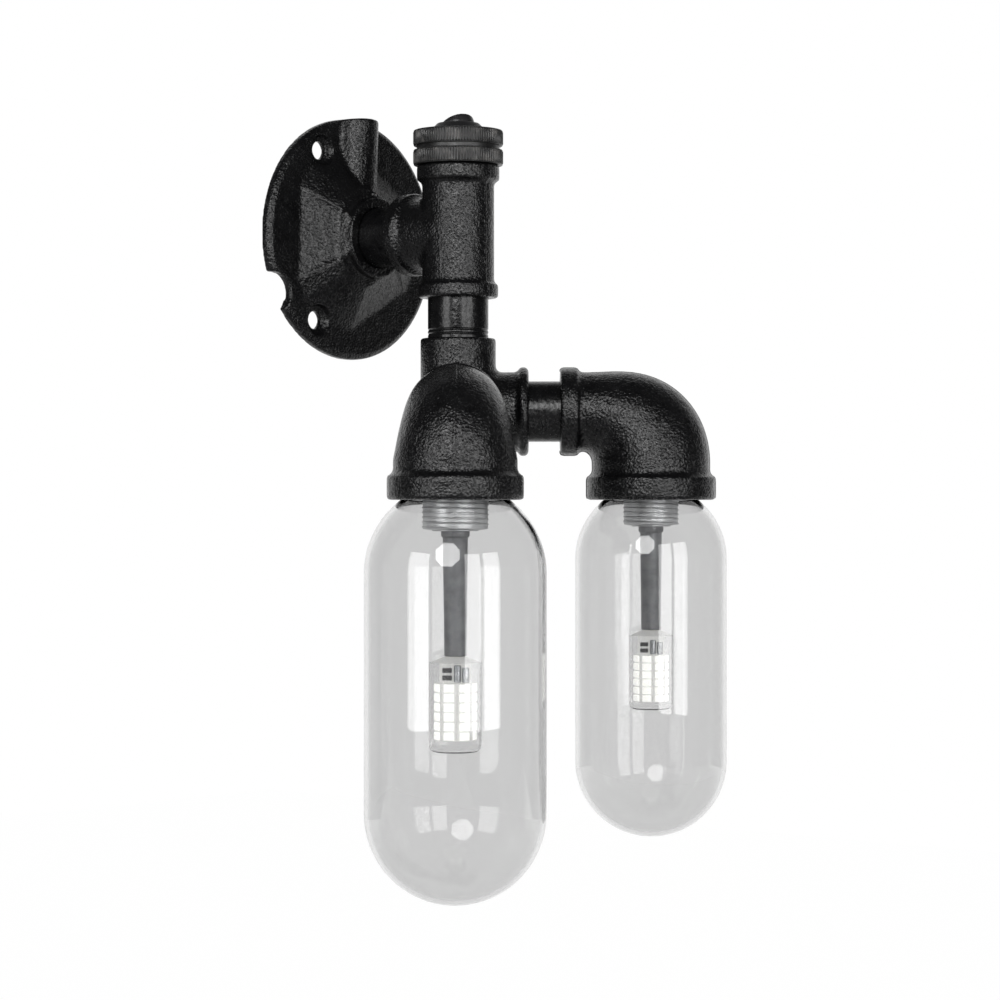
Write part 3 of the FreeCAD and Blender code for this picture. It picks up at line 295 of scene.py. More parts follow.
@dataclass(frozen=True, kw_only=True)
class Finish(Surface):
    """An opaque surface: two tones in patches, a gloss that varies, wear on its edges, and on some a painted
    glow.
    """

    second: str                     # colour that the patches drift to
    patch: float                    # size of the patches
    spread: float = 0.05            # how far roughness varies either way
    metallic: float = 0.0
    specular: float = 0.5
    stretch: Size = (1.0, 1.0, 1.0)
    wear: Optional[str] = None      # colour of what shows where an edge is rubbed
    wear_start: float = 0.54        # convexity at which the wear begins
    pits: float = 0.0               # share of its gloss that the skin loses in its pits
    # painted light: emission in the surface's own colour that brightens a part as if it were lit
    painted_glow: float = 0.0

    def lay(self, tree: Tree, place: Socket) -> Socket:
        """Coordinates stretched along the finish's lay."""
        return add_node(tree, "ShaderNodeMapping", {"Vector": place, "Scale": self.stretch}).outputs[0]

    def shader(self, tree: Tree, place: Socket, lay: Socket) -> bpy.types.Node:
        """Principled shader with its colour, gloss, pits and painted glow.

        Args:
            tree: node tree that takes the nodes.
            place: coordinates in metres.
            lay: coordinates stretched along the finish's lay.

        Returns:
            The shader's node.
        """
        gloss = noise(tree, lay, self.patch / GLOSS_SHARE, FINE_DETAIL)
        made = add_node(tree, "ShaderNodeBsdfPrincipled", {
            "Base Color": self.base(tree, place),
            "Roughness": ramp(tree, gloss, GLOSS_BAND, self.roughness - self.spread,
                              self.roughness + self.spread),
            "Metallic": self.metallic,
            "Specular IOR Level": self.shine(tree, lay),
        })
        # painted glow: the colour is given out as emission so the part reads brighter, as if lit
        if self.painted_glow:
            made.inputs["Emission Color"].default_value = srgb(self.colour)
            made.inputs["Emission Strength"].default_value = self.painted_glow
        return made

    def base(self, tree: Tree, place: Socket) -> Socket:
        """Base colour: two tones in patches, with broken wear on the convex edges.

        Args:
            tree: node tree that takes the nodes.
            place: coordinates in metres.

        Returns:
            The colour's socket.
        """
        share = ramp(tree, noise(tree, place, self.patch, PATCH_DETAIL), PATCH_BAND)
        tone = blend(tree, "RGBA", share, srgb(self.colour), srgb(self.second))
        if not self.wear:
            return tone
        bend = add_node(tree, "ShaderNodeNewGeometry").outputs["Pointiness"]
        edge = ramp(tree, bend, (self.wear_start, self.wear_start + WEAR_WIDTH))
        broken = ramp(tree, noise(tree, place, self.patch * RUB_SIZE, FINE_DETAIL), RUB_BAND)
        worn = add_node(tree, "ShaderNodeMath", {0: edge, 1: broken}, operation="MULTIPLY").outputs[0]
        return blend(tree, "RGBA", worn, tone, srgb(self.wear))

    def shine(self, tree: Tree, lay: Socket) -> Union[float, Socket]:
        """Strength of the reflection, which drops in the pits of a cast skin.

        Args:
            tree: node tree that takes the nodes.
            lay: coordinates stretched along the finish's lay.

        Returns:
            The strength, or its socket.
        """
        if not self.pits:
            return self.specular
        return ramp(tree, noise(tree, lay, self.grain, GRAIN_DETAIL), PIT_BAND,
                    self.specular * (1 - self.pits), self.specular * (1 + self.pits))


@dataclass(frozen=True, kw_only=True)
class Clear(Surface):
    """A clear solid wall that light goes through."""

    ior: float

    def shader(self, tree: Tree, place: Socket, lay: Socket) -> bpy.types.Node:
        """Principled shader that lets all light through.

        Args:
            tree: node tree that takes the nodes.
            place: coordinates in metres; not used.
            lay: coordinates stretched along the finish's lay; not used.

        Returns:
            The shader's node.
        """
        return add_node(tree, "ShaderNodeBsdfPrincipled", {
            "Base Color": srgb(self.colour), "Roughness": self.roughness, "IOR": self.ior,
            "Transmission Weight": 1.0})


# Black enamel over sand-cast malleable iron: a pebbly skin that breaks highlights into grains.
CAST_ENAMEL = Finish("black_enamel_on_cast_iron", Slot.CASTING, "#070708", 0.24, second="#0D0D0E", patch=9.0,
                     spread=0.06, specular=0.41, grain=1.0, depth=0.36, wave=4.0, wave_depth=0.5,
                     wear="#3A2018", pits=0.45)
# The same enamel on drawn pipe: smooth, with faint smears along the pipe.
PIPE_ENAMEL = Finish("black_enamel_on_drawn_pipe", Slot.PIPE, "#070708", 0.24, second="#0D0D0E", patch=5.0,
                     spread=0.08, specular=0.42, grain=1.3, depth=0.1, wave_depth=0.25, pits=0.25)
# Enamel worn thin by the knurling tool's crests: greyer and duller than the castings.
KNURL_ENAMEL = Finish("thin_black_enamel_on_knurled_steel", Slot.RING, "#141414", 0.36, second="#222222",
                      patch=3.0, spread=0.08, depth=0.03, wear="#5A5856")
# Spark-eroded ABS moulding: even, fine and matt.
BODY_ABS = Finish("black_abs_matt_moulded", Slot.SWITCH_BODY, "#161617", 0.45, second="#1B1B1C", patch=6.0,
                  spread=0.04, grain=0.25, depth=0.006)
# Polished ABS of the button: soft gloss with faint finger marks.
BUTTON_ABS = Finish("black_abs_satin_moulded", Slot.BUTTON, "#18181A", 0.33, second="#242324", patch=4.0,
                    spread=0.06, grain=0.3, depth=0.006)
# Stamped brass: warm metal with rolling lines.
BRASS = Finish("brass_stamped", Slot.BRASS, "#C9A35A", 0.3, second="#B58E48", patch=4.0, spread=0.08,
               metallic=1.0, grain=0.3, depth=0.004, stretch=(1.0, 1.0, 6.0))
# Bright zinc plate: pale metal with slightly clouded gloss.
ZINC = Finish("zinc_plated_steel", Slot.ZINC, "#B9BBBD", 0.34, second="#9DA0A3", patch=3.0, spread=0.1,
              metallic=1.0, grain=0.4, depth=0.004)
# Nickel-plated brass of the lampholder: cut threads, bright crests.
NICKEL = Finish("nickel_plated_turned_brass", Slot.HOLDER, "#C4C5C6", 0.42, second="#B4B5B6", patch=5.0,
                metallic=1.0)
# Grey lacquer on a drawn tube: draw lines along its length.
STEM_LACQUER = Finish("grey_lacquer_on_drawn_tube", Slot.STEM, "#68696B", 0.4, second="#7A7B7D", patch=5.0,
                      spread=0.08, metallic=0.35, depth=0.012, stretch=(8.0, 8.0, 1.0))
# Pressed steatite, unglazed: chalky and a little grainy.
CERAMIC = Finish("steatite_unglazed", Slot.CERAMIC, "#E6E2D8", 0.6, second="#DAD5C8", patch=2.0,
                 grain=0.3, depth=0.01)
# Braided glass fibre under silicone: the braid shows as a fine grain.
FIBRE_SLEEVE = Finish("silicone_glass_fibre_sleeve", Slot.LEAD, "#DCDAD2", 0.6, second="#C9C6BC", patch=1.0,
                      grain=0.35, depth=0.03)
# Moulded silicone: even and dull.
SILICONE = Finish("silicone_moulded", Slot.SILICONE, "#D9DAD8", 0.5, second="#CBCCC9", patch=4.0, depth=0.005)
# White polycarbonate of the lamp's cap, with a painted glow standing in for light from the chips below.
LAMP_CAP = Finish("polycarbonate_white_moulded", Slot.LAMP_PLASTIC, "#CFCFCD", 0.35, second="#C2C2C0",
                  patch=4.0, depth=0.004, painted_glow=0.3)
# White solder mask on glass-fibre board: weave just shows as fine grain, and a painted glow stands in for the
# chips' light on it.
BOARD = Finish("white_solder_mask_board", Slot.BOARD, "#DADAD8", 0.42, second="#CFCFCC", patch=1.6,
               spread=0.06, grain=0.35, depth=0.02, painted_glow=0.55)
# Moulding compound of the driver's packages: black-grey, fine and dull.
EPOXY = Finish("black_epoxy_compound", Slot.BOARD, "#3A3A3B", 0.5, second="#454546", patch=1.5,
               grain=0.2, depth=0.006)
# Phosphor under clear resin, with a painted glow that brightens the chips to white.
PHOSPHOR = Finish("phosphor_under_resin", Slot.PHOSPHOR, "#FFFFFC", 0.3, second="#FFFFF6", patch=1.5,
                  grain=0.4, depth=0.01, painted_glow=0.85)
# Extruded PVC of the wires: satin, with the extruder's slight orange peel.
LIVE_PVC, NEUTRAL_PVC, EARTH_PVC = [
    Finish(name, slot, colour, 0.4, second=second, patch=3.0, grain=0.8, depth=0.01)
    for name, slot, colour, second in (("brown_pvc_extruded", Slot.LIVE, "#5A2F1B", "#51290F"),
                                       ("blue_pvc_extruded", Slot.NEUTRAL, "#2B5C9E", "#26528D"),
                                       ("green_yellow_pvc_extruded", Slot.EARTH, "#3F8A33", "#D8C62B"))]
# Soda-lime glass, mould-blown: faintly grey, with a slow waviness from the mould.
BLOWN_GLASS = Clear("soda_lime_glass_mould_blown", Slot.GLASS, "#E4E4E4", 0.0, ior=1.5, wave=22.0,
                    wave_depth=0.02)
# Injection-moulded polycarbonate of the lamp's cover.
CLEAR_COVER = Clear("polycarbonate_clear_moulded", Slot.COVER, "#FAFAFA", 0.02, ior=1.2, wave=9.0,
                    wave_depth=0.02)

# Solids that stay in view, by finish; those of an arm add the lamp's name.
SWITCH_SOLIDS = {ZINC: ("switch_plunger", "wire_receptacles", "switch_spring"),
                 BRASS: ("switch_contact_bar", "switch_terminal_line", "switch_terminal_load")}
ARM_SOLIDS = {ZINC: ("holder_stud_", "stud_nuts_", "stem_nut_"), NICKEL: ("holder_plug_", "holder_cap_"),
              CERAMIC: ("stem_socket_",), FIBRE_SLEEVE: ("stem_leads_",), LIVE_PVC: ("wire_load_",),
              NEUTRAL_PVC: ("wire_neutral_",)}


# ---------------------------------------------------------------- placing and meshes
def turned(degrees: float, axis: str = "Z") -> Matrix:
    """Turn about an axis, in degrees."""
    return Matrix.Rotation(math.radians(degrees), 4, axis)


@dataclass(frozen=True)
class Place:
    """Where a sub-assembly's own axes lie in the part, in metres and degrees."""

    x: float
    y: float
    z: float
    turn: float = 0.0

    def matrix(self) -> Matrix:
        """Matrix from the sub-assembly's millimetres to the part's metres."""
        return Matrix.Translation((self.x, self.y, self.z)) @ turned(self.turn) @ Matrix.Scale(MM, 4)


def centre_of(node: str) -> Vector:
    """Centre of a solid's box, in metres."""
    low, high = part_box(node)
    return (low + high) / 2


def new_piece(name: str, data: bpy.types.ID) -> Piece:
    """Link a mesh, lamp or camera into the scene as an object at the origin.

    Args:
        name: piece's name.
        data: mesh, lamp data or camera data.

    Returns:
        The new object.
    """
    made = bpy.data.objects.new(name, data)
    bpy.context.scene.collection.objects.link(made)
    return made


def drop(*pieces: Piece) -> None:
    """Remove helper objects from the scene."""
    for piece in pieces:
        bpy.data.objects.remove(piece)


@contextmanager
def editing(mesh: Mesh) -> Iterator[bmesh.types.BMesh]:
    """Open a mesh for editing, and write it back at the end.

    Args:
        mesh: mesh to edit.

    Yields:
        The mesh, open for editing.
    """
    form = bmesh.new()
    form.from_mesh(mesh)
    yield form
    form.to_mesh(mesh)
    form.free()


def points_of(mesh: Mesh) -> np.ndarray:
    """Places of a mesh's points, one row each.

    Args:
        mesh: mesh to read.

    Returns:
        Places in the mesh's own units.
    """
    flat = np.empty(len(mesh.vertices) * 3)
    mesh.vertices.foreach_get("co", flat)
    return flat.reshape(-1, 3)


def normals_of(mesh: Mesh) -> np.ndarray:
    """Normals of a mesh's points, one row each.

    Args:
        mesh: mesh to read.

    Returns:
        Unit normals.
    """
    flat = np.empty(len(mesh.vertices) * 3)
    mesh.vertex_normals.foreach_get("vector", flat)
    return flat.reshape(-1, 3)


def move_points(mesh: Mesh, places: np.ndarray) -> None:
    """Give a mesh's points new places."""
    mesh.vertices.foreach_set("co", places.ravel())
    mesh.update()


def shade(mesh: Mesh, sharp: float = SHARP) -> None:
    """Shade a mesh smooth with crisp edges past an angle in degrees."""
    mesh.shade_smooth()
    mesh.set_sharp_from_angle(angle=math.radians(sharp))


def mesh_of(name: str, points: list, faces: list, sharp: float = SHARP) -> Mesh:
    """Mesh with merged doubles and outward faces.

    Args:
        name: mesh's name.
        points: corner positions.
        faces: corner indices of each face.
        sharp: angle in degrees past which an edge stays crisp.

    Returns:
        The finished mesh.
    """
    mesh = bpy.data.meshes.new(name)
    mesh.from_pydata(points, [], faces)
    with editing(mesh) as form:
        bmesh.ops.remove_doubles(form, verts=form.verts, dist=DOUBLES)
        bmesh.ops.dissolve_degenerate(form, dist=TINY, edges=form.edges)
        bmesh.ops.recalc_face_normals(form, faces=form.faces)
    shade(mesh, sharp)
    return mesh


def eased(corners: Corners, steps: int = 5, most: float = 0.49) -> Profile:
    """Round the corners of a closed profile.

    Args:
        corners: radius, height and ease of each corner, in order.
        steps: points of one rounded corner.
        most: share of a side that one corner may take.

    Returns:
        Profile points in order.
    """
    made: Profile = []
    count = len(corners)
    for i, (r, z, ease) in enumerate(corners):
        here = Vector((r, z))
        if ease <= 0:
            made.append((r, z))
            continue
        before = Vector(corners[i - 1][:2]) - here
        after = Vector(corners[(i + 1) % count][:2]) - here
        reach = min(ease, before.length * most, after.length * most)
        start, end = here + before.normalized() * reach, here + after.normalized() * reach
        for k in range(steps + 1):
            t = k / steps
            made.append(tuple(start * (1 - t) ** 2 + here * 2 * t * (1 - t) + end * t * t))
    return made


def lathe(name: str, profile: Profile, matrix: Matrix, segments: int = 96) -> Piece:
    """Turn a closed profile about the Z axis.

    Args:
        name: piece's name.
        profile: radius and height points, in millimetres.
        matrix: place of the piece.
        segments: steps round the axis.

    Returns:
        The new piece.
    """
    count = len(profile)
    points, faces = [], []
    for i in range(segments):
        c, s = math.cos(TAU * i / segments), math.sin(TAU * i / segments)
        points += [(r * c, r * s, z) for r, z in profile]
        here, there = i * count, (i + 1) % segments * count
        for k in range(count):
            nxt = (k + 1) % count
            if profile[k][0] > 0 or profile[nxt][0] > 0:
                faces.append((here + k, here + nxt, there + nxt, there + k))
    mesh = mesh_of(name, points, faces)
    mesh.transform(matrix)
    return new_piece(name, mesh)


def slab(name: str, size: Size, centre: Size, matrix: Matrix, ease: float = FINE) -> Piece:
    """Block with rounded edges.

    Args:
        name: piece's name.
        size: lengths along the three axes, in millimetres.
        centre: its middle, in millimetres.
        matrix: place of the piece.
        ease: radius of the edges in millimetres.

    Returns:
        The new piece.
    """
    mesh = bpy.data.meshes.new(name)
    with editing(mesh) as form:
        block = Matrix.Translation(centre) @ Matrix.Diagonal((*size, 1.0))
        bmesh.ops.create_cube(form, size=1.0, matrix=block)
        bmesh.ops.bevel(form, geom=form.edges[:], offset=ease, segments=3, profile=0.5, affect="EDGES")
    mesh.transform(matrix)
    shade(mesh)
    return new_piece(name, mesh)


def arc_points(radius: float, height: float, start: float, end: float, steps: int) -> Profile:
    """Points of an arc about the axis at a height, between two angles in degrees from the plane."""
    angles = [math.radians(start + (end - start) * k / steps) for k in range(steps + 1)]
    return [(max(radius * math.cos(a), 0.0), height + radius * math.sin(a)) for a in angles]


def joined(name: str, *pieces: Piece) -> Piece:
    """One piece from several that share a material.

    Args:
        name: new piece's name.
        *pieces: pieces to join; they are removed.

    Returns:
        The joined piece.
    """
    mesh = bpy.data.meshes.new(name)
    with editing(mesh) as form:
        for piece in pieces:
            form.from_mesh(piece.data)
    shade(mesh)
    drop(*pieces)
    return new_piece(name, mesh)


def baked(piece: Piece, name: str) -> Mesh:
    """Plain mesh of a piece with its modifiers applied.

    Args:
        piece: piece whose modifiers are applied.
        name: name of the mesh.

    Returns:
        The plain mesh.
    """
    bpy.context.view_layer.update()
    depsgraph = bpy.context.evaluated_depsgraph_get()
    mesh = bpy.data.meshes.new_from_object(piece.evaluated_get(depsgraph))
    mesh.name = name
    return mesh


# ---------------------------------------------------------------- softened copies of solids
@dataclass(frozen=True)
class Skin:
    """How a copy of a solid is softened: a fine even mesh, rounded edges and filled inner corners."""

    voxel: float                    # mesh size in millimetres
    edge_rounds: int                # smoothing of every edge
    fillet_rounds: int              # further smoothing that only fills inner corners
    refresh: int = 9                # rounds between two looks at the normals
    hollow: float = 0.02            # lift in one round, over the mesh size, that marks an inner corner

    def copy_of(self, node: str, name: str) -> Piece:
        """Softened copy of a solid.

        Args:
            node: solid to copy.
            name: new piece's name.

        Returns:
            The copy, at the solid's place.
        """
        source = new_piece(name + "_source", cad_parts[node].data.copy())
        with editing(source.data) as form:
            bmesh.ops.remove_doubles(form, verts=form.verts, dist=TINY)
        remesh = source.modifiers.new("skin", "REMESH")
        remesh.mode = "VOXEL"
        remesh.voxel_size = self.voxel * MM
        mesh = baked(source, name)
        drop(source)
        self.relax(mesh)
        mesh.shade_smooth()
        return new_piece(name, mesh)

    def relax(self, mesh: Mesh) -> None:
        """Smooth all the mesh a little, then fill its inner corners.

        Args:
            mesh: mesh to smooth; it is changed.
        """
        count = len(mesh.vertices)
        places = points_of(mesh)
        ends = np.empty(len(mesh.edges) * 2, np.int32)
        mesh.edges.foreach_get("vertices", ends)
        first, last = ends[0::2], ends[1::2]
        degree = np.bincount(ends, minlength=count).astype(float)[:, None]
        for step in range(self.edge_rounds + self.fillet_rounds):
            pull = np.stack([np.bincount(first, places[last, k], count)
                             + np.bincount(last, places[first, k], count) for k in range(3)], axis=1)
            shift = pull / degree - places
            if step < self.edge_rounds:
                places += shift
                continue
            if (step - self.edge_rounds) % self.refresh == 0:
                move_points(mesh, places)
                outward = normals_of(mesh)
            lift = np.einsum("ij,ij->i", shift, outward)
            places += shift * np.clip(lift / (self.voxel * MM * self.hollow) - 1.0, 0.0, 1.0)[:, None]
        move_points(mesh, places)


@dataclass(frozen=True)
class Seam:
    """Mould seam where a casting meets its parting plane, the plane Y = 0 of its own axes."""

    half: float                     # half the seam's width in millimetres
    height: float

    def raise_on(self, piece: Piece, matrix: Matrix,
                 outside: Callable[[np.ndarray, np.ndarray], np.ndarray]) -> None:
        """Raise the seam on a casting.

        Args:
            piece: casting to change.
            matrix: place of the casting's own axes.
            outside: tells from local places and normals which points are on the casting's outer skin.
        """
        places, outward = points_of(piece.data), normals_of(piece.data)
        back = np.array(matrix.inverted())
        local = places @ back[:3, :3].T + back[:3, 3]
        aligned = outward @ np.array(matrix.to_3x3().normalized())
        near = np.clip(1 - (local[:, 1] / self.half) ** 2, 0, 1) * outside(local, aligned)
        move_points(piece.data, places + outward * (near * self.height * MM)[:, None])


# ---------------------------------------------------------------- geometry node trees
def new_tree(name: str, **sockets: str) -> tuple[Tree, Callable[[str], Socket]]:
    """Empty geometry tree with named inputs.

    Args:
        name: tree's name.
        **sockets: kind of each input; an underscore in its name stands for a space.

    Returns:
        The tree, and a function that gives an input's socket by its name.
    """
    tree = bpy.data.node_groups.new(name, "GeometryNodeTree")
    tree.interface.new_socket("Geometry", in_out="INPUT", socket_type="NodeSocketGeometry")
    for label, kind in sockets.items():
        tree.interface.new_socket(label.replace("_", " "), in_out="INPUT", socket_type="NodeSocket" + kind)
    tree.interface.new_socket("Geometry", in_out="OUTPUT", socket_type="NodeSocketGeometry")
    given = add_node(tree, "NodeGroupInput")
    return tree, lambda label: given.outputs[label]


def close_tree(tree: Tree, made: Socket, material: Socket) -> None:
    """End a tree in real geometry that carries its material.

    Args:
        tree: node tree that takes the nodes.
        made: geometry that the tree has made.
        material: socket of the material.
    """
    real = add_node(tree, "GeometryNodeRealizeInstances", {"Geometry": made})
    dressed = add_node(tree, "GeometryNodeSetMaterial", {"Geometry": real.outputs[0], "Material": material})
    add_node(tree, "NodeGroupOutput", {0: dressed.outputs[0]})


def ring_array_tree() -> Tree:
    """Tree that stands copies of an item round the Z axis, in columns and rows.

    Returns:
        The tree.
    """
    tree, given = new_tree("ring_array", Item="Object", Columns="Int", Rows="Int", Radius="Float",
                           First_Height="Float", Row_Pitch="Float", Turn="Float", Material="Material")

    def maths(operation: str, *values) -> Socket:
        """Result of one arithmetic step."""
        return add_node(tree, "ShaderNodeMath", dict(enumerate(values)), operation=operation).outputs[0]

    columns, rows = given("Columns"), given("Rows")
    line = add_node(tree, "GeometryNodeMeshLine", {"Count": maths("MULTIPLY", columns, rows)})
    index = add_node(tree, "GeometryNodeInputIndex").outputs[0]
    column = maths("FLOOR", maths("DIVIDE", maths("ADD", index, 0.5), rows))
    row = maths("SUBTRACT", index, maths("MULTIPLY", column, rows))
    angle = maths("ADD", given("Turn"), maths("DIVIDE", maths("MULTIPLY", column, TAU), columns))
    spot = add_node(tree, "ShaderNodeCombineXYZ", {
        0: maths("MULTIPLY", given("Radius"), maths("COSINE", angle)),
        1: maths("MULTIPLY", given("Radius"), maths("SINE", angle)),
        2: maths("ADD", given("First Height"), maths("MULTIPLY", row, given("Row Pitch")))})
    points = add_node(tree, "GeometryNodeSetPosition", {
        "Geometry": line.outputs[0], "Position": spot.outputs[0]})
    facing = add_node(tree, "FunctionNodeEulerToRotation", {
        0: add_node(tree, "ShaderNodeCombineXYZ", {2: angle}).outputs[0]})
    item = add_node(tree, "GeometryNodeObjectInfo", {"Object": given("Item")})
    copies = add_node(tree, "GeometryNodeInstanceOnPoints", {
        "Points": points.outputs[0], "Instance": item.outputs["Geometry"], "Rotation": facing.outputs[0]})
    close_tree(tree, copies.outputs[0], given("Material"))
    return tree


def helix_tree(resolution: int = 72) -> Tree:
    """Tree that sweeps a round wire or thread crest along a helix about the Z axis.

    Args:
        resolution: steps in one turn.

    Returns:
        The tree.
    """
    tree, given = new_tree("helix", Turns="Float", Radius="Float", Height="Float", Wire_Radius="Float",
                           Sides="Int", Material="Material")
    spiral = add_node(tree, "GeometryNodeCurveSpiral", {
        "Resolution": resolution, "Rotations": given("Turns"), "Start Radius": given("Radius"),
        "End Radius": given("Radius"), "Height": given("Height")})
    section = add_node(tree, "GeometryNodeCurvePrimitiveCircle", {
        "Resolution": given("Sides"), "Radius": given("Wire Radius")})
    swept = add_node(tree, "GeometryNodeCurveToMesh", {
        "Curve": spiral.outputs[0], "Profile Curve": section.outputs[0], "Fill Caps": True})
    close_tree(tree, swept.outputs[0], given("Material"))
    return tree


def grown(tree: Tree, name: str, matrix: Matrix, values: dict[str, object]) -> Piece:
    """Run a geometry tree and keep its result as a plain mesh.

    Args:
        tree: geometry tree.
        name: piece's name.
        matrix: place of the piece.
        values: value of each named input, in millimetres.

    Returns:
        The new piece.
    """
    holder = new_piece(name + "_holder", bpy.data.meshes.new(name + "_empty"))
    modifier = holder.modifiers.new("grow", "NODES")
    modifier.node_group = tree
    for socket in tree.interface.items_tree:
        if socket.in_out == "INPUT" and socket.name in values:
            modifier[socket.identifier] = values[socket.name]
    mesh = baked(holder, name)
    holder.modifiers.remove(modifier)
    drop(holder)
    mesh.transform(matrix)
    shade(mesh)
    return new_piece(name, mesh)


def settle(piece: Piece, finish: Surface, *nodes: str, body: str = Body.FRAME.value) -> None:
    """Give a piece its finish and its body, and let it stand for its solids.

    Args:
        piece: finished piece.
        finish: its surface.
        *nodes: solids that it replaces.
        body: name of the body that it rides on.
    """
    piece.data.materials.clear()
    piece.data.materials.append(finish.material())
    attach(piece, body)
    if nodes:
        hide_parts(*nodes)
    LOG.info("%s rides on %s for %s", piece.name, body, ", ".join(nodes) or "nothing")


def dress(finish: Surface, *nodes: str) -> None:
    """Give solids that stay in view their finish.

    Args:
        finish: their surface.
        *nodes: solids to dress.
    """
    for node in nodes:
        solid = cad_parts[node]
        solid.data.materials.clear()
        solid.data.materials.append(finish.material())
        LOG.info("solid %s is dressed in %s", node, finish.name)


# ---------------------------------------------------------------- sub-assemblies
@dataclass
class Trees:
    """Geometry trees that the sub-assemblies share."""

    ring: Tree = field(default_factory=ring_array_tree)
    helix: Tree = field(default_factory=helix_tree)


@dataclass
class PipeRun:
    """Short pipe between two fittings, in millimetres along its own axis."""

    radius: float = 13.45
    bore: float = 10.85
    thread_radius: float = 13.2
    thread_reach: float = 9.0
    pitch: float = 1.8
    thread_depth: float = 0.35

    def profile(self, show: float, turns: int = 0) -> Profile:
        """Closed section of a pipe that shows for a length, with a few thread turns at its foot.

        Args:
            show: length between the two fittings.
            turns: thread grooves above the lower fitting.

        Returns:
            Profile points.
        """
        corners: Corners = [
            (self.bore, -self.thread_reach, 0), (self.thread_radius, -self.thread_reach, BROAD),
            (self.thread_radius, 0, 0), (self.radius, 0, 0)]
        for i in range(turns):
            valley = (i + 1) * self.pitch
            corners += [(self.radius, valley - self.pitch / 3, FINE),
                        (self.radius - self.thread_depth, valley, FINE),
                        (self.radius, valley + self.pitch / 3, FINE)]
        corners += [(self.radius, show, 0), (self.thread_radius, show, 0),
                    (self.thread_radius, show + self.thread_reach, BROAD),
                    (self.bore, show + self.thread_reach, 0)]
        return eased(corners)

    def build(self, node: str, along: Matrix, show: float, turns: int = 0) -> None:
        """Make one pipe and let it stand for its solid."""
        settle(lathe("pipe_" + node, self.profile(show, turns), along), PIPE_ENAMEL, node)


@dataclass
class WallFlange:
    """Cast flange on the wall, its earth screw and lug, and the pipe to the tee."""

    skin: Skin = Skin(voxel=0.55, edge_rounds=3, fillet_rounds=8)
    pipe: PipeRun = field(default_factory=PipeRun)

    def build(self) -> None:
        """Build and dress the flange's pieces."""
        settle(self.skin.copy_of("wall_flange", "wall_flange_casting"), CAST_ENAMEL, "wall_flange")
        dress(ZINC, "earth_screw", "earth_lug")
        low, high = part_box("flange_nipple")
        reach = (high.y - low.y) / MM - 2 * self.pipe.thread_reach
        along = (Matrix.Translation((0, high.y - self.pipe.thread_reach * MM, 0))
                 @ turned(90, "X") @ Matrix.Scale(MM, 4))
        self.pipe.build("flange_nipple", along, reach)


@dataclass
class Column:
    """Tee, column pipe and corner fitting on the vertical pipe axis."""

    skin: Skin = Skin(voxel=0.5, edge_rounds=4, fillet_rounds=40)
    seam: Seam = Seam(half=0.75, height=0.2)
    seam_radius: float = 15.0       # inside this distance from the axis the tee has no seam
    thread_turns: int = 2
    pipe: PipeRun = field(default_factory=PipeRun)

    def tee_outside(self, places: np.ndarray, normals: np.ndarray) -> np.ndarray:
        """Points of the tee's outer skin, on the room side."""
        away = np.hypot(places[:, 0], places[:, 1]) > self.seam_radius
        return away & (places[:, 0] < 0) & (normals[:, 0] < 0)

    def build(self) -> None:
        """Build and dress the column's pieces."""
        axis = centre_of("column_nipple")
        tee = self.skin.copy_of("switch_tee", "tee_casting")
        self.seam.raise_on(tee, Place(axis.x, axis.y, 0.0, 90.0).matrix(), self.tee_outside)
        settle(tee, CAST_ENAMEL, "switch_tee")
        settle(self.skin.copy_of("corner_fitting", "corner_casting"), CAST_ENAMEL, "corner_fitting")
        low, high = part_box("column_nipple")
        show = (high.z - low.z) / MM - 2 * self.pipe.thread_reach
        foot = Place(axis.x, axis.y, low.z + self.pipe.thread_reach * MM).matrix()
        self.pipe.build("column_nipple", foot, show, self.thread_turns)


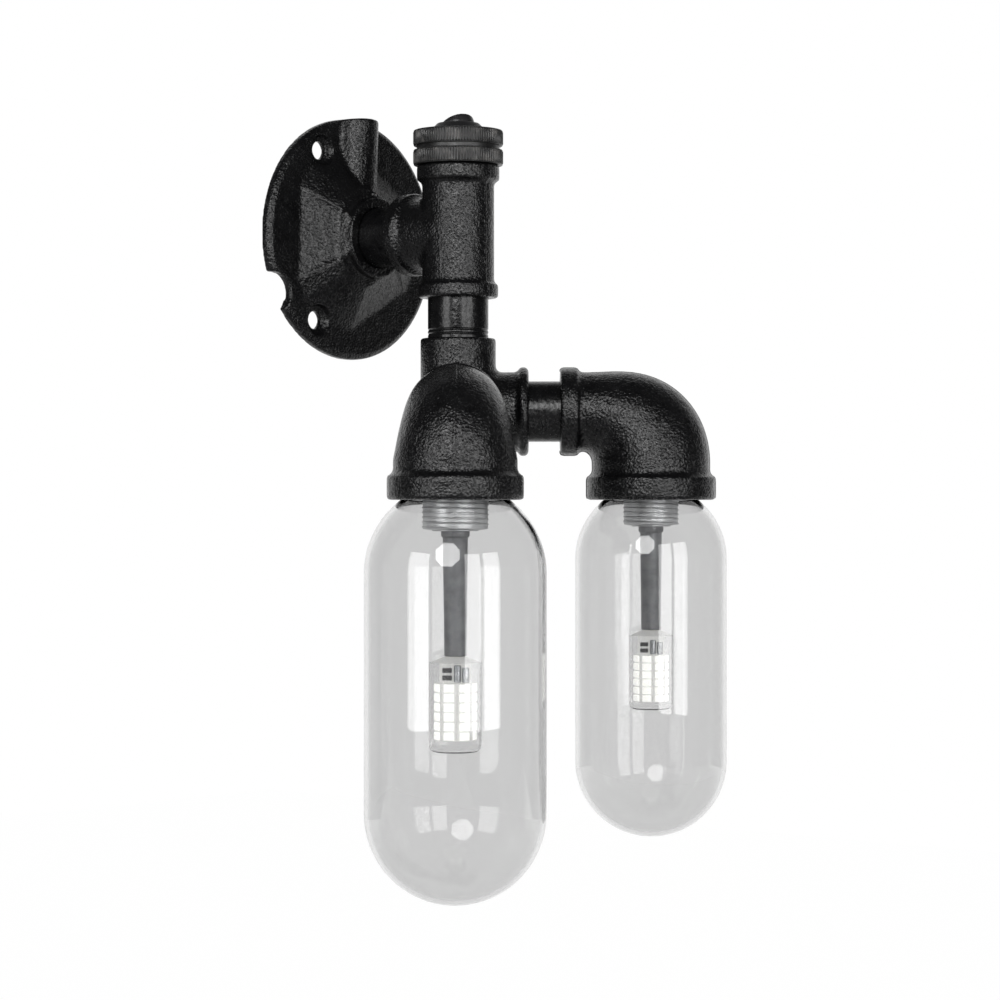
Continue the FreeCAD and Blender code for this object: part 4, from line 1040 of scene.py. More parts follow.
@dataclass
class SwitchTop:
    """Two knurled rings and the rocker switch on top of the tee."""

    skin: Skin = Skin(voxel=0.22, edge_rounds=3, fillet_rounds=6)
    ring_radius: float = 20.0
    ring_height: float = 6.8
    ring_segments: int = 168
    land: float = 0.4               # plain edge above and below the knurl
    knurl_depth: float = 0.5
    teeth: int = 94
    tooth_fill: float = 0.82        # share of its pitch that a tooth takes
    tooth_foot: float = 0.8         # half width of a tooth at the ring, over its half width
    tooth_crest: float = 0.22       # the same at its crest
    tooth_sunk: float = 0.3         # depth of its foot in the ring
    tooth_sharp: float = 25.0
    neck_radius: float = 18.4
    neck_height: float = 1.8
    spigot_radius: float = 13.2
    spigot_reach: float = 9.0
    bore: float = 10.6
    inner_spigot: float = 15.0
    inner_spigot_height: float = 3.9
    hole_radius: float = 10.1
    counterbore: float = 15.1
    roof_gap: float = 0.2
    ease: float = 0.35              # bevel of a ring's edge
    bevel_in: float = 0.15          # step of the land inside the crests
    band_in: float = 0.2            # from the land to the sunk band

    def knurl(self, trees: Trees, name: str, low: float, matrix: Matrix) -> Piece:
        """Straight knurl round one ring.

        Args:
            trees: shared geometry trees.
            name: piece's name.
            low: height of the ring's underside above the column's origin.
            matrix: place of the column's axis.

        Returns:
            The knurl's teeth as one piece.
        """
        half = math.pi * self.ring_radius / self.teeth * self.tooth_fill
        high = self.ring_height - 2 * self.land
        side = [(-self.tooth_sunk, -half), (0.0, -half * self.tooth_foot),
                (self.knurl_depth, -half * self.tooth_crest)]
        section = side + [(x, -y) for x, y in reversed(side)]
        count = len(section)
        levels = ((0.0, 0.0), (self.knurl_depth, 1.0), (high - self.knurl_depth, 1.0), (high, 0.0))
        points = [(x if x <= 0 else x * pinch, y, level) for level, pinch in levels for x, y in section]
        last = len(levels) - 1
        faces = [tuple(range(count)), tuple(range(last * count, (last + 1) * count))]
        faces += [(level * count + k, level * count + (k + 1) % count,
                   (level + 1) * count + (k + 1) % count, (level + 1) * count + k)
                  for level in range(last) for k in range(count)]
        tooth = new_piece("knurl_tooth", mesh_of("knurl_tooth", points, faces, self.tooth_sharp))
        made = grown(trees.ring, name, matrix, {
            "Item": tooth, "Columns": self.teeth, "Rows": 1, "Radius": self.ring_radius - self.knurl_depth,
            "First Height": low + self.land, "Row Pitch": 0.0, "Turn": 0.0,
            "Material": KNURL_ENAMEL.material()})
        drop(tooth)
        return made

    def ring_edge(self, low: float) -> Corners:
        """Outer corners of one ring from its underside up, with the sunk band that the knurl fills.

        Args:
            low: height of the ring's underside.

        Returns:
            Corners of the ring's edge.
        """
        root, bevel = self.ring_radius - self.knurl_depth, self.ring_radius - self.bevel_in
        high = low + self.ring_height
        return [(self.ring_radius - self.ease, low, FINE), (bevel, low + self.ease, FINE),
                (root, low + self.land + self.band_in, HAIR), (root, high - self.land - self.band_in, HAIR),
                (bevel, high - self.ease, FINE), (self.ring_radius - self.ease, high, FINE)]

    def build_ring(self, trees: Trees, matrix: Matrix, which: str, low: float, corners: Corners,
                   node: str) -> None:
        """Turn one ring, knurl it and let it stand for its solid.

        Args:
            trees: shared geometry trees.
            matrix: place of the column's axis.
            which: lower or upper.
            low: height of the ring's underside.
            corners: the ring's whole section.
            node: solid that it replaces.
        """
        body = lathe(which + "_ring_body", eased(corners), matrix, self.ring_segments)
        teeth = self.knurl(trees, which + "_knurl", low, matrix)
        settle(joined("knurled_" + which + "_ring", body, teeth), KNURL_ENAMEL, node)

    def build(self, trees: Trees) -> None:
        """Build and dress the rings and the switch.

        Args:
            trees: shared geometry trees.
        """
        axis = centre_of("column_nipple")
        matrix = Place(axis.x, axis.y, 0.0).matrix()
        plug_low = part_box("switch_plug")[0].z / MM + self.spigot_reach
        neck_low = plug_low + self.ring_height
        seat = neck_low + self.neck_height
        plug: Corners = [(self.bore, plug_low - self.spigot_reach, 0),
                         (self.spigot_radius, plug_low - self.spigot_reach, BROAD),
                         (self.spigot_radius, plug_low, 0), *self.ring_edge(plug_low),
                         (self.neck_radius, neck_low, FINE), (self.neck_radius, seat, 0),
                         (self.inner_spigot, seat, 0),
                         (self.inner_spigot, seat + self.inner_spigot_height, FULL),
                         (self.bore, seat + self.inner_spigot_height, 0)]
        self.build_ring(trees, matrix, "lower", plug_low, plug, "switch_plug")
        cap_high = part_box("switch_cap")[1].z / MM
        cap_low = cap_high - self.ring_height
        roof = cap_low + self.inner_spigot_height + self.roof_gap
        cap: Corners = [(self.counterbore, cap_low, FINE), *self.ring_edge(cap_low),
                        (self.hole_radius, cap_high, SOFT), (self.hole_radius, roof, 0),
                        (self.counterbore, roof, 0)]
        self.build_ring(trees, matrix, "upper", cap_low, cap, "switch_cap")
        settle(self.skin.copy_of("switch_rocker", "rocker_button"), BUTTON_ABS, "switch_rocker",
               body=Body.ROCKER.value)
        settle(self.skin.copy_of("switch_housing", "switch_body_moulding"), BODY_ABS, "switch_housing")
        for finish, nodes in SWITCH_SOLIDS.items():
            dress(finish, *nodes)


@dataclass
class LampArm:
    """One arm: pipe, reducing elbow and the lampholder in it.  Sizes in millimetres."""

    name: str
    sleeve_radius: float
    sleeve_drop: float
    stem_radius: float
    stem_tip_radius: float
    stem_drop: float
    skin: Skin = Skin(voxel=0.55, edge_rounds=4, fillet_rounds=50)
    seam: Seam = Seam(half=0.75, height=0.36)
    elbow_drop: float = 39.3
    swell: float = 2.0              # fullness of the elbow's shoulder
    throat: float = 5.4
    in_radius: float = 17.2
    out_radius: float = 26.0
    face_margin: float = 1.0        # height over the outlet's face where its level skin has no seam
    skin_margin: float = 1.0        # distance from the duct's middle line that the outer skin exceeds
    level_limit: float = 0.5        # upward share of a normal from which the skin counts as level
    shoulder_radius: float = 20.0
    shoulder_low: float = 6.8
    shoulder_high: float = 9.2
    sleeve_wall: float = 2.5
    sleeve_floor: float = 4.1
    sleeve_play: float = 0.05       # between the sleeve and the stem
    nose: float = 0.9
    sleeve_pitch: float = 2.0
    crest: float = 0.42
    crest_sides: int = 8
    thread_end: float = 1.0         # plain length above the thread
    stem_bore: float = 2.9
    stem_over: float = 1.0          # stem above its nut
    stem_segments: int = 72
    tip_round: float = 0.25
    socket_wall: float = 0.7
    socket_length: float = 10.5
    collar_height: float = 2.8
    collar_over: float = 0.75
    nut_height: float = 3.0
    pipe: PipeRun = field(default_factory=PipeRun)

    def place(self) -> Place:
        """Lamp's own axes: origin at the outlet face on the lamp's axis, +X away from the column.

        Returns:
            Place of the lamp.
        """
        lamp = centre_of("glass_shade_" + self.name)
        column = centre_of("column_nipple")
        turn = math.degrees(math.atan2(lamp.y - column.y, lamp.x - column.x))
        return Place(lamp.x, lamp.y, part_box("elbow_" + self.name)[0].z, turn)

    def elbow_outside(self, places: np.ndarray, normals: np.ndarray) -> np.ndarray:
        """Points of the elbow's outer skin, told by a normal that leaves the duct's middle line.

        Args:
            places: local points in millimetres.
            normals: local normals.

        Returns:
            One for a point of the outer skin, else zero.
        """
        pivot_x = -(self.throat + self.out_radius)
        pivot_z = self.elbow_drop - self.in_radius - self.throat
        x, z = places[:, 0], places[:, 2]
        angle = np.arctan2(np.clip(x - pivot_x, 0, None), np.clip(z - pivot_z, 0, None) + 1e-9)
        sine = np.sin(angle)
        grown_by = (self.out_radius - self.in_radius) * sine ** (self.swell - sine)
        reach = self.throat + self.in_radius + grown_by
        mid_x = np.where(x < pivot_x, x, np.where(z < pivot_z, 0.0, pivot_x + reach * sine))
        mid_z = np.where(x < pivot_x, self.elbow_drop,
                         np.where(z < pivot_z, z, pivot_z + reach * np.cos(angle)))
        out = (x - mid_x) * normals[:, 0] + places[:, 1] * normals[:, 1] + (z - mid_z) * normals[:, 2]
        upright = np.abs(normals[:, 2] * (z < self.face_margin)) < self.level_limit
        return ((out > self.skin_margin) & upright).astype(float)

    def build(self, trees: Trees) -> None:
        """Build and dress the arm's pieces.

        Args:
            trees: shared geometry trees.
        """
        matrix = self.place().matrix()
        casting = self.skin.copy_of("elbow_" + self.name, "elbow_casting_" + self.name)
        self.seam.raise_on(casting, matrix, self.elbow_outside)
        settle(casting, CAST_ENAMEL, "elbow_" + self.name)
        self.build_pipe(matrix)
        self.build_holder(trees, matrix)
        self.build_stem(matrix)
        for finish, nodes in ARM_SOLIDS.items():
            dress(finish, *[node + self.name for node in nodes])

    def build_pipe(self, matrix: Matrix) -> None:
        """Pipe from the corner fitting to the elbow.

        Args:
            matrix: place of the sub-assembly.
        """
        back = matrix.inverted()
        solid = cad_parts["arm_nipple_" + self.name]
        reach = [(back @ corner.co).x for corner in solid.data.vertices]
        low, high = min(reach), max(reach)
        along = (matrix @ Matrix.Translation((low + self.pipe.thread_reach, 0, self.elbow_drop))
                 @ turned(90, "Y"))
        self.pipe.build("arm_nipple_" + self.name, along, high - low - 2 * self.pipe.thread_reach)

    def build_holder(self, trees: Trees, matrix: Matrix) -> None:
        """Threaded sleeve with its shoulder and bevelled nose.

        Args:
            trees: shared geometry trees.
            matrix: place of the sub-assembly.
        """
        core, inside = self.sleeve_radius - self.crest, self.sleeve_radius - self.sleeve_wall
        bottom, hole = -self.sleeve_drop, self.stem_radius + self.sleeve_play
        nose_radius = self.stem_radius + (self.sleeve_radius - self.stem_radius) / 2
        corners: Corners = [
            (hole, bottom - self.nose, 0), (nose_radius, bottom - self.nose, SOFT),
            (nose_radius, bottom - self.nose / 2, 0), (core, bottom, SOFT), (core, self.shoulder_low, 0),
            (self.shoulder_radius, self.shoulder_low, SOFT), (self.shoulder_radius, self.shoulder_high, SOFT),
            (inside, self.shoulder_high, 0), (inside, bottom + self.sleeve_floor, 0),
            (hole, bottom + self.sleeve_floor, 0)]
        sleeve = lathe("sleeve_core_" + self.name, eased(corners), matrix)
        lift = matrix @ Matrix.Translation((0, 0, bottom + self.crest))
        turns = (self.shoulder_low - bottom - 2 * self.crest - self.thread_end) / self.sleeve_pitch
        thread = grown(trees.helix, "sleeve_thread_" + self.name, lift, {
            "Turns": turns, "Radius": core, "Height": turns * self.sleeve_pitch, "Wire Radius": self.crest,
            "Sides": self.crest_sides, "Material": NICKEL.material()})
        settle(joined("threaded_sleeve_" + self.name, sleeve, thread), NICKEL, "lampholder_" + self.name)

    def build_stem(self, matrix: Matrix) -> None:
        """Tapered hollow stem with its collar.

        Args:
            matrix: place of the sub-assembly.
        """
        nose_low = -self.sleeve_drop - self.nose
        top = -self.sleeve_drop + self.sleeve_floor + self.nut_height + self.stem_over
        collar = self.stem_radius + self.collar_over
        tip, seat = -self.stem_drop, self.stem_tip_radius - self.socket_wall
        corners: Corners = [
            (self.stem_bore, top, 0), (self.stem_radius, top, 0), (self.stem_radius, nose_low, 0),
            (collar, nose_low, FINE), (collar, nose_low - self.collar_height + self.collar_over, SOFT),
            (self.stem_radius, nose_low - self.collar_height, SOFT),
            (self.stem_tip_radius, tip, self.tip_round), (seat, tip, 0), (seat, tip + self.socket_length, 0),
            (self.stem_bore, tip + self.socket_length, 0)]
        stem = lathe("stem_tube_" + self.name, eased(corners), matrix, self.stem_segments)
        settle(stem, STEM_LACQUER, "lamp_stem_" + self.name)


@dataclass(frozen=True)
class Driver:
    """Parts on a lamp's driver board.  Sizes in millimetres on a lamp of the stated radius."""

    lamp_radius: float = 11.0
    plate_thickness: float = 1.4
    plate_width: float = 1.2        # over the lamp's radius
    package: Size = (1.3, 4.0, 1.9)
    package_out: float = 1.3
    package_aside: float = -3.4
    package_levels: Pair = (1.9, 5.0)
    pin: Size = (0.4, 0.35, 0.5)
    pin_out: float = 0.85
    pin_rise: float = 1.1           # from a package's middle
    pin_shifts: Size = (-1.3, 0.0, 1.3)
    pin_ease: float = 0.08
    can_out: float = 2.2
    can_lift: float = 0.1           # gap under a can
    can_radius: float = 1.5
    can_crimp: float = 1.35
    can_levels: Size = (0.8, 1.1, 1.4)      # below, in and above the crimp
    cans: tuple[Pair, Pair] = ((0.9, 7.2), (4.3, 6.2))      # place aside, and height
    can_segments: int = 40

    def packages(self, name: str, size: float, base: float, matrix: Matrix) -> list[Piece]:
        """Resin packages, one above the other.

        Args:
            name: name of the pieces.
            size: scale of the driver.
            base: height of the board's foot.
            matrix: place of the driver.

        Returns:
            The packages.
        """
        return [slab(name, tuple(side * size for side in self.package),
                     (self.package_out * size, self.package_aside * size, base + level * size), matrix)
                for level in self.package_levels]

    def pins(self, name: str, size: float, base: float, matrix: Matrix) -> list[Piece]:
        """Pins above and below each package.

        Args:
            name: name of the pieces.
            size: scale of the driver.
            base: height of the board's foot.
            matrix: place of the sub-assembly.

        Returns:
            The pins.
        """
        return [slab(name, tuple(side * size for side in self.pin),
                     (self.pin_out * size, (self.package_aside + shift) * size,
                      base + level * size + side * self.pin_rise * size), matrix, self.pin_ease)
                for level in self.package_levels for side in (-1, 1) for shift in self.pin_shifts]

    def can_pieces(self, name: str, size: float, base: float, matrix: Matrix) -> list[Piece]:
        """Capacitor cans with their crimp.

        Args:
            name: name of the pieces.
            size: scale of the driver.
            base: height of the board's foot.
            matrix: place of the sub-assembly.

        Returns:
            The cans.
        """
        wide, (below, crimp, above) = self.can_radius * size, self.can_levels
        return [lathe(name, eased([
            (0, self.can_lift, 0), (wide, self.can_lift, SOFT), (wide, below, FINE),
            (self.can_crimp * size, crimp, FINE),
            (wide, above, FINE), (wide, high * size, FULL), (0, high * size, 0)]),
            matrix @ Matrix.Translation((self.can_out * size, shift * size, base)), self.can_segments)
            for shift, high in self.cans]


@dataclass
class ShadeSet:
    """Glass shade with its clamping ring and gasket, and the LED lamp inside.  Sizes in millimetres."""

    name: str
    arm: LampArm
    radius: float
    drop: float
    neck_radius: float
    led_radius: float
    led_drop: float
    row_pitch: float
    chip_width: float
    facing: float                   # side of the driver board that shows, degrees from the arm
    driver: Driver = Driver()
    wall: float = 1.8
    hole_play: float = 0.6
    glass_top: float = 5.1
    shelf: float = 3.3
    dome_top: float = 1.0
    lip_round: float = 0.9          # rim of the glass's neck
    shelf_round: float = 0.6        # inner corner under its shelf
    glass_segments: int = 144
    dome_steps: int = 26
    ring_play: float = 0.2
    ring_low: float = 0.3
    ring_height: float = 3.0
    ring_width: float = 4.4
    cap_height: float = 2.2
    led_seat: float = 0.3
    driver_height: float = 8.5
    board_ease: float = 0.3
    cover_wall: float = 0.8
    cover_segments: int = 72
    cover_steps: int = 8
    end_round: float = 3.6
    chip_thickness: float = 0.7
    chip_fill: float = 0.8          # chip's height over the pitch of the rows
    chip_edge: float = 0.35
    turn: float = 27.4              # first row of chips from the arm's line, degrees
    led_air: float = 1.3
    columns: int = 8
    rows: int = 6

    def build(self, trees: Trees) -> None:
        """Build and dress the shade and the lamp.

        Args:
            trees: shared geometry trees.
        """
        matrix = self.arm.place().matrix()
        shade_body, led_body = Body.SHADE.value + self.name, Body.LAMP.value + self.name
        settle(self.glass(matrix), BLOWN_GLASS, "glass_shade_" + self.name, body=shade_body)
        settle(self.ring(matrix), NICKEL, "shade_ring_" + self.name, body=shade_body)
        dress(SILICONE, "shade_gasket_" + self.name)
        dress(LAMP_CAP, "led_cap_" + self.name)
        settle(self.board(matrix), BOARD, "led_board_" + self.name, body=led_body)
        self.build_driver(matrix, led_body)
        settle(self.chips(trees, matrix), PHOSPHOR, "led_chips_" + self.name, body=led_body)
        settle(self.cover(matrix), CLEAR_COVER, "led_cover_" + self.name, body=led_body)

    def glass(self, matrix: Matrix) -> Piece:
        """Capsule glass: round bottom, straight wall, round shoulder and a short neck.

        Args:
            matrix: place of the sub-assembly.

        Returns:
            The glass.
        """
        inner, neck, throat = self.radius - self.wall, self.neck_radius, self.neck_radius - self.wall
        hole = self.arm.sleeve_radius + self.hole_play
        low_centre = self.radius - self.drop
        rise = math.sqrt(self.radius ** 2 - neck ** 2)
        high_centre = self.dome_top - rise
        outer_end = math.degrees(math.asin(rise / self.radius))
        inner_end = math.degrees(math.acos(throat / inner))
        turn_z = high_centre + math.sqrt(inner ** 2 - throat ** 2)
        profile = arc_points(self.radius, low_centre, -90, 0, self.dome_steps)
        profile += arc_points(self.radius, high_centre, 0, outer_end, self.dome_steps)
        profile += eased([
            (neck, self.dome_top, 0), (neck, self.glass_top, self.lip_round), (hole, self.glass_top, FULL),
            (hole, self.shelf, FULL), (throat, self.shelf, self.shelf_round), (throat, turn_z, 0)])[1:-1]
        profile += arc_points(inner, high_centre, inner_end, 0, self.dome_steps)
        profile += arc_points(inner, low_centre, 0, -90, self.dome_steps)
        return lathe("capsule_glass_" + self.name, profile, matrix, self.glass_segments)

    def ring(self, matrix: Matrix) -> Piece:
        """Ring that clamps the glass on its holder.

        Args:
            matrix: place of the sub-assembly.

        Returns:
            The ring.
        """
        bore, high = self.arm.sleeve_radius + self.ring_play, self.ring_low + self.ring_height
        return lathe("clamp_ring_" + self.name, eased([
            (bore, self.ring_low, SOFT), (bore + self.ring_width, self.ring_low, BROAD),
            (bore + self.ring_width, high, FULL), (bore, high, SOFT)]), matrix)

    def lamp_top(self) -> float:
        """Height of the lamp's cap above the outlet face; it is negative."""
        return -self.arm.stem_drop - self.led_seat

    def board_radius(self) -> float:
        """Distance from the lamp's axis to the flats of its board."""
        return self.led_radius - self.cover_wall - self.led_air - self.chip_thickness

    def rows_top(self) -> float:
        """Height of the top of the chip rows above the outlet face; it is negative."""
        return self.lamp_top() - self.cap_height - self.driver_height

    def board(self, matrix: Matrix) -> Piece:
        """Eight-sided board that carries the chips, and the driver's board standing on it.

        Args:
            matrix: place of the sub-assembly.

        Returns:
            The boards as one piece.
        """
        top, ease = self.rows_top(), self.board_ease
        foot = top - self.rows * self.row_pitch
        corner = self.board_radius() / math.cos(math.pi / self.columns)
        flats = Matrix.Rotation(math.radians(self.turn) - math.pi / self.columns, 4, "Z")
        prism = lathe("led_prism_" + self.name, [
            (0, foot), (corner - ease, foot), (corner, foot + ease), (corner, top - ease),
            (corner - ease, top), (0, top)], matrix @ flats, self.columns)
        wide = self.led_radius * self.driver.plate_width
        plate = slab("driver_plate_" + self.name, (self.driver.plate_thickness, wide, self.driver_height),
                     (0, 0, top + self.driver_height / 2), matrix @ turned(self.facing))
        return joined("led_board_form_" + self.name, prism, plate)

    def build_driver(self, matrix: Matrix, body: str) -> None:
        """Packages and capacitor cans on the driver's board.

        Args:
            matrix: place of the sub-assembly.
            body: lamp's body.
        """
        given = (self.led_radius / self.driver.lamp_radius, self.rows_top(), matrix @ turned(self.facing))
        packages = self.driver.packages("driver_package_" + self.name, *given)
        settle(joined("driver_packages_" + self.name, *packages), EPOXY, body=body)
        pins = self.driver.pins("driver_pin_" + self.name, *given)
        cans = self.driver.can_pieces("driver_can_" + self.name, *given)
        settle(joined("driver_cans_" + self.name, *pins, *cans), ZINC, body=body)

    def chips(self, trees: Trees, matrix: Matrix) -> Piece:
        """Chips on the eight sides of the board, as cushioned resin tiles.

        Args:
            trees: shared geometry trees.
            matrix: place of the sub-assembly.

        Returns:
            All chips as one piece.
        """
        thick, edge = self.chip_thickness, self.chip_edge
        half_w, half_h = self.chip_width / 2, self.row_pitch * self.chip_fill / 2
        points = [(depth, sy * (half_w - inset), sz * (half_h - inset))
                  for depth, inset in ((0.0, 0.0), (thick - edge, 0.0), (thick, edge))
                  for sy, sz in ((-1, -1), (1, -1), (1, 1), (-1, 1))]
        faces = [(3, 2, 1, 0), (8, 9, 10, 11)]
        faces += [(level + k, level + (k + 1) % 4, level + 4 + (k + 1) % 4, level + 4 + k)
                  for level in (0, 4) for k in range(4)]
        tile = new_piece("chip_tile", mesh_of("chip_tile", points, faces))
        made = grown(trees.ring, "led_tiles_" + self.name, matrix, {
            "Item": tile, "Columns": self.columns, "Rows": self.rows, "Radius": self.board_radius(),
            "First Height": self.rows_top() - (self.rows - 0.5) * self.row_pitch, "Row Pitch": self.row_pitch,
            "Turn": math.radians(self.turn), "Material": PHOSPHOR.material()})
        drop(tile)
        return made

    def cover(self, matrix: Matrix) -> Piece:
        """Clear cover with a round edge at its closed end.

        Args:
            matrix: place of the sub-assembly.

        Returns:
            The cover.
        """
        top, bottom = self.lamp_top() - self.cap_height, -self.led_drop
        outer, inner = self.led_radius, self.led_radius - self.cover_wall
        floor = bottom + self.cover_wall
        corners: Corners = [
            (0, bottom, 0), (outer, bottom, self.end_round), (outer, top, FINE), (inner, top, FINE),
            (inner, floor, self.end_round - self.cover_wall), (0, floor, 0)]
        return lathe("lamp_cover_" + self.name, eased(corners, self.cover_steps), matrix, self.cover_segments)


# ---------------------------------------------------------------- studio
@dataclass(frozen=True)
class Panel:
    """Soft box: its place round the part, and its size in metres."""

    name: str
    azimuth: float                  # degrees to the right of the camera, seen from the part
    height: float
    distance: float
    wide: float
    tall: float
    radiance: float = 4.0
    sides: int = 4                  # more than four make an even polygon that is aimed at the part


def by_ray(tree: Tree, diffuse: float, mirrored: Union[float, Socket], seen: float) -> Socket:
    """Value that goes by the kind of ray.

    Args:
        tree: tree of a stage material or of the world.
        diffuse: value for rays that only light surfaces.
        mirrored: value or socket for glossy rays.
        seen: value for camera and transmission rays.

    Returns:
        The value's socket.
    """
    path = add_node(tree, "ShaderNodeLightPath")
    glossy = blend(tree, "FLOAT", path.outputs["Is Glossy Ray"], diffuse, mirrored)
    direct = add_node(tree, "ShaderNodeMath", {
        0: path.outputs["Is Camera Ray"], 1: path.outputs["Is Transmission Ray"]}, operation="MAXIMUM")
    return blend(tree, "FLOAT", direct.outputs[0], glossy, seen)


def aim(piece: Piece, spot: Vector, direction: Vector) -> None:
    """Stand a lamp or a camera at a spot and turn its front to a direction.

    Args:
        piece: lamp or camera.
        spot: where it stands, in metres.
        direction: where it faces.
    """
    piece.location = spot
    piece.rotation_mode = "QUATERNION"
    piece.rotation_quaternion = direction.to_track_quat("-Z", "Y")


@dataclass
class Studio:
    """Camera, lamps, floor and surroundings."""

    turn: float = 49.5              # camera's direction to the left of the wall's normal, degrees
    distance: float = 1.356         # camera to the plane of the column's axis
    aside: float = 0.0186           # column's axis left of the middle of the view
    focal: float = 3.05             # focal length over the picture's width
    sensor: float = 36.0
    clip: Pair = (0.05, 50.0)
    floor_drop: float = 0.9         # floor below the part
    floor_size: float = 14.0
    floor_colour: str = "#F4F4F4"
    floor_cover: float = 0.96       # share of the floor's own white for rays that see or mirror it
    floor_white: float = 1.03
    floor_mirrored: float = 0.3     # what the floor near the part gives to mirrored rays
    floor_band: Pair = (0.5, 2.2)   # metres ahead of the part where its white starts and is full for them
    ambient: float = 0.2
    dark_side: float = 0.05         # what glossy surfaces see of the room behind the camera
    backdrop_band: Pair = (0.4, 0.9)        # share along the view where mirrored rays meet the backdrop
    cloth_back: str = "#101010"
    panels: tuple[Panel, ...] = (
        Panel("soft_box_left", azimuth=-44.5, height=0.21, distance=1.55, wide=0.74, tall=0.86),
        Panel("soft_box_right_inner", azimuth=21.5, height=0.21, distance=1.55, wide=0.52, tall=0.86),
        Panel("soft_box_right_outer", azimuth=45.5, height=0.21, distance=1.55, wide=0.57, tall=0.86),
        Panel("octagon_box", azimuth=-9.0, height=0.56, distance=1.39, wide=0.75, tall=0.75, radiance=7.5,
              sides=8),
    )

    def forward(self) -> Vector:
        """Level direction in which the camera looks."""
        angle = math.radians(self.turn)
        return Vector((math.sin(angle), math.cos(angle), 0.0))

    def right(self) -> Vector:
        """Level direction to the right of the view."""
        forward = self.forward()
        return Vector((forward.y, -forward.x, 0.0))

    def build(self) -> None:
        """Set up the camera, the lamps, the floor and the world."""
        column = centre_of("column_nipple")
        target = Vector((column.x, column.y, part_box("elbow_front")[0].z))
        self.build_camera(target - self.forward() * self.distance + self.right() * self.aside)
        for panel in self.panels:
            self.build_panel(panel, target)
        self.build_floor()
        self.build_world()
        bpy.context.scene.view_settings.view_transform = "Standard"

    def build_camera(self, spot: Vector) -> None:
        """Camera level with the elbows' outlets.

        Args:
            spot: where it stands, in metres.
        """
        data = bpy.data.cameras.new("camera")
        data.sensor_width = self.sensor
        data.lens = self.focal * self.sensor
        data.clip_start, data.clip_end = self.clip
        camera = new_piece("camera", data)
        aim(camera, spot, self.forward())
        bpy.context.scene.camera = camera

    def build_panel(self, panel: Panel, target: Vector) -> None:
        """One soft box that faces the part; only reflections and the light itself show it.

        Args:
            panel: soft box to build.
            target: middle of the part, in metres.
        """
        angle = math.radians(panel.azimuth)
        towards = -self.forward() * math.cos(angle) + self.right() * math.sin(angle)
        spot = target + towards * panel.distance + Vector((0, 0, panel.height))
        if panel.sides > 4:
            turn = (target - spot).to_track_quat("-Z", "Y").to_matrix().to_4x4()
            reach = panel.wide / 2 / math.cos(math.pi / panel.sides)
            angles = [(i + 0.5) * TAU / panel.sides for i in range(panel.sides)]
            mesh = bpy.data.meshes.new(panel.name)
            mesh.from_pydata([(reach * math.cos(a), reach * math.sin(a), 0.0) for a in angles], [],
                             [tuple(reversed(range(panel.sides)))])
            mesh.transform(Matrix.Translation(spot) @ turn)
            lamp = new_piece(panel.name, mesh)
            mesh.materials.append(self.diffuser(panel.radiance))
        else:
            data = bpy.data.lights.new(panel.name, "AREA")
            data.shape = "RECTANGLE"
            data.size, data.size_y = panel.wide, panel.tall
            data.energy = panel.radiance * math.pi * panel.wide * panel.tall
            lamp = new_piece(panel.name, data)
            aim(lamp, spot, -towards)
        lamp.visible_camera = False

    def diffuser(self, radiance: float) -> Material:
        """White cloth of a soft box, lit from inside; its back is dark.

        Args:
            radiance: light that the cloth gives.

        Returns:
            The cloth's material.
        """
        made = bpy.data.materials.new("soft_box_cloth")
        tree = cleared(made)
        back = add_node(tree, "ShaderNodeNewGeometry").outputs["Backfacing"]
        lit = add_node(tree, "ShaderNodeEmission", {"Color": srgb(WHITE), "Strength": radiance})
        dark = add_node(tree, "ShaderNodeBsdfDiffuse", {"Color": srgb(self.cloth_back)})
        close_surface(tree, add_node(tree, "ShaderNodeMixShader", {
            0: back, 1: lit.outputs[0], 2: dark.outputs[0]}))
        return made

    def ahead(self, tree: Tree, where: Socket) -> Socket:
        """How far a place or a direction lies along the view."""
        return add_node(tree, "ShaderNodeVectorMath", {0: where, 1: self.forward()},
                        operation="DOT_PRODUCT").outputs["Value"]

    def build_floor(self) -> None:
        """Pale floor well below the part."""
        half = self.floor_size / 2
        level = CAD_BOX[0].z - self.floor_drop
        corners = [(x * half, y * half, level) for x, y in ((-1, -1), (1, -1), (1, 1), (-1, 1))]
        floor = new_piece("floor", mesh_of("floor", corners, [(0, 1, 2, 3)]))
        made = bpy.data.materials.new("pale_floor_paint")
        tree = cleared(made)
        matt = add_node(tree, "ShaderNodeBsdfDiffuse", {"Color": srgb(self.floor_colour)})
        place = add_node(tree, "ShaderNodeNewGeometry").outputs["Position"]
        mirrored = ramp(tree, self.ahead(tree, place), self.floor_band, self.floor_mirrored, self.floor_white)
        white = add_node(tree, "ShaderNodeEmission", {
            "Color": srgb(WHITE), "Strength": by_ray(tree, 0.0, mirrored, self.floor_white)})
        close_surface(tree, add_node(tree, "ShaderNodeMixShader", {
            0: by_ray(tree, 0.0, self.floor_cover, self.floor_cover), 1: matt.outputs[0],
            2: white.outputs[0]}))
        floor.data.materials.append(made)

    def build_world(self) -> None:
        """White beyond the part, an even soft room round it."""
        world = bpy.data.worlds.new("studio")
        bpy.context.scene.world = world
        tree = cleared(world)
        direction = add_node(tree, "ShaderNodeTexCoord").outputs["Generated"]
        backdrop = ramp(tree, self.ahead(tree, direction), self.backdrop_band, self.dark_side,
                        interpolation_type="SMOOTHSTEP")
        light = add_node(tree, "ShaderNodeBackground", {
            "Color": srgb(WHITE), "Strength": by_ray(tree, self.ambient, backdrop, 1.0)})
        add_node(tree, "ShaderNodeOutputWorld", {"Surface": light.outputs[0]})


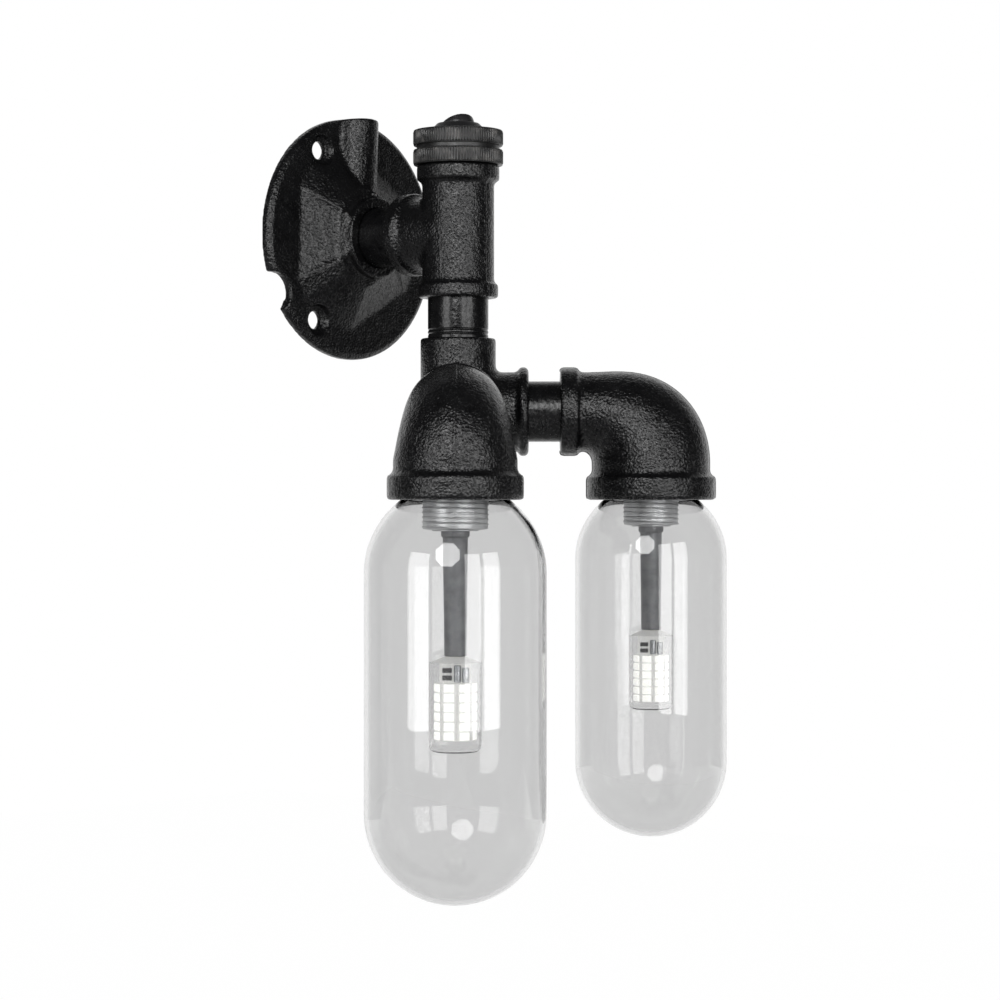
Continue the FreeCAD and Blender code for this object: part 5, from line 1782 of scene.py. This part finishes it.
def main() -> None:
    """Build every sub-assembly of the light in its studio."""
    logging.basicConfig(level=logging.INFO, format="%(name)s: %(message)s")
    Studio().build()
    trees = Trees()
    WallFlange().build()
    Column().build()
    SwitchTop().build(trees)
    front = LampArm("front", sleeve_radius=14.0, sleeve_drop=12.1, stem_radius=5.25, stem_tip_radius=4.6,
                    stem_drop=65.0)
    right = LampArm("right", sleeve_radius=12.4, sleeve_drop=10.9, stem_radius=4.8, stem_tip_radius=4.3,
                    stem_drop=57.6)
    for arm in (front, right):
        arm.build(trees)
    for lamp in (ShadeSet("front", front, radius=38.1, drop=168.7, neck_radius=21.5, led_radius=11.0,
                          led_drop=105.0, row_pitch=4.0, chip_width=4.4, facing=0.0),
                 ShadeSet("right", right, radius=33.7, drop=149.4, neck_radius=19.8, led_radius=9.8,
                          led_drop=93.0, row_pitch=3.5, chip_width=3.9, facing=-90.0)):
        lamp.build(trees)
    dress(LIVE_PVC, "wire_line")
    dress(EARTH_PVC, "wire_earth")


if __name__ == "__main__":
    main()
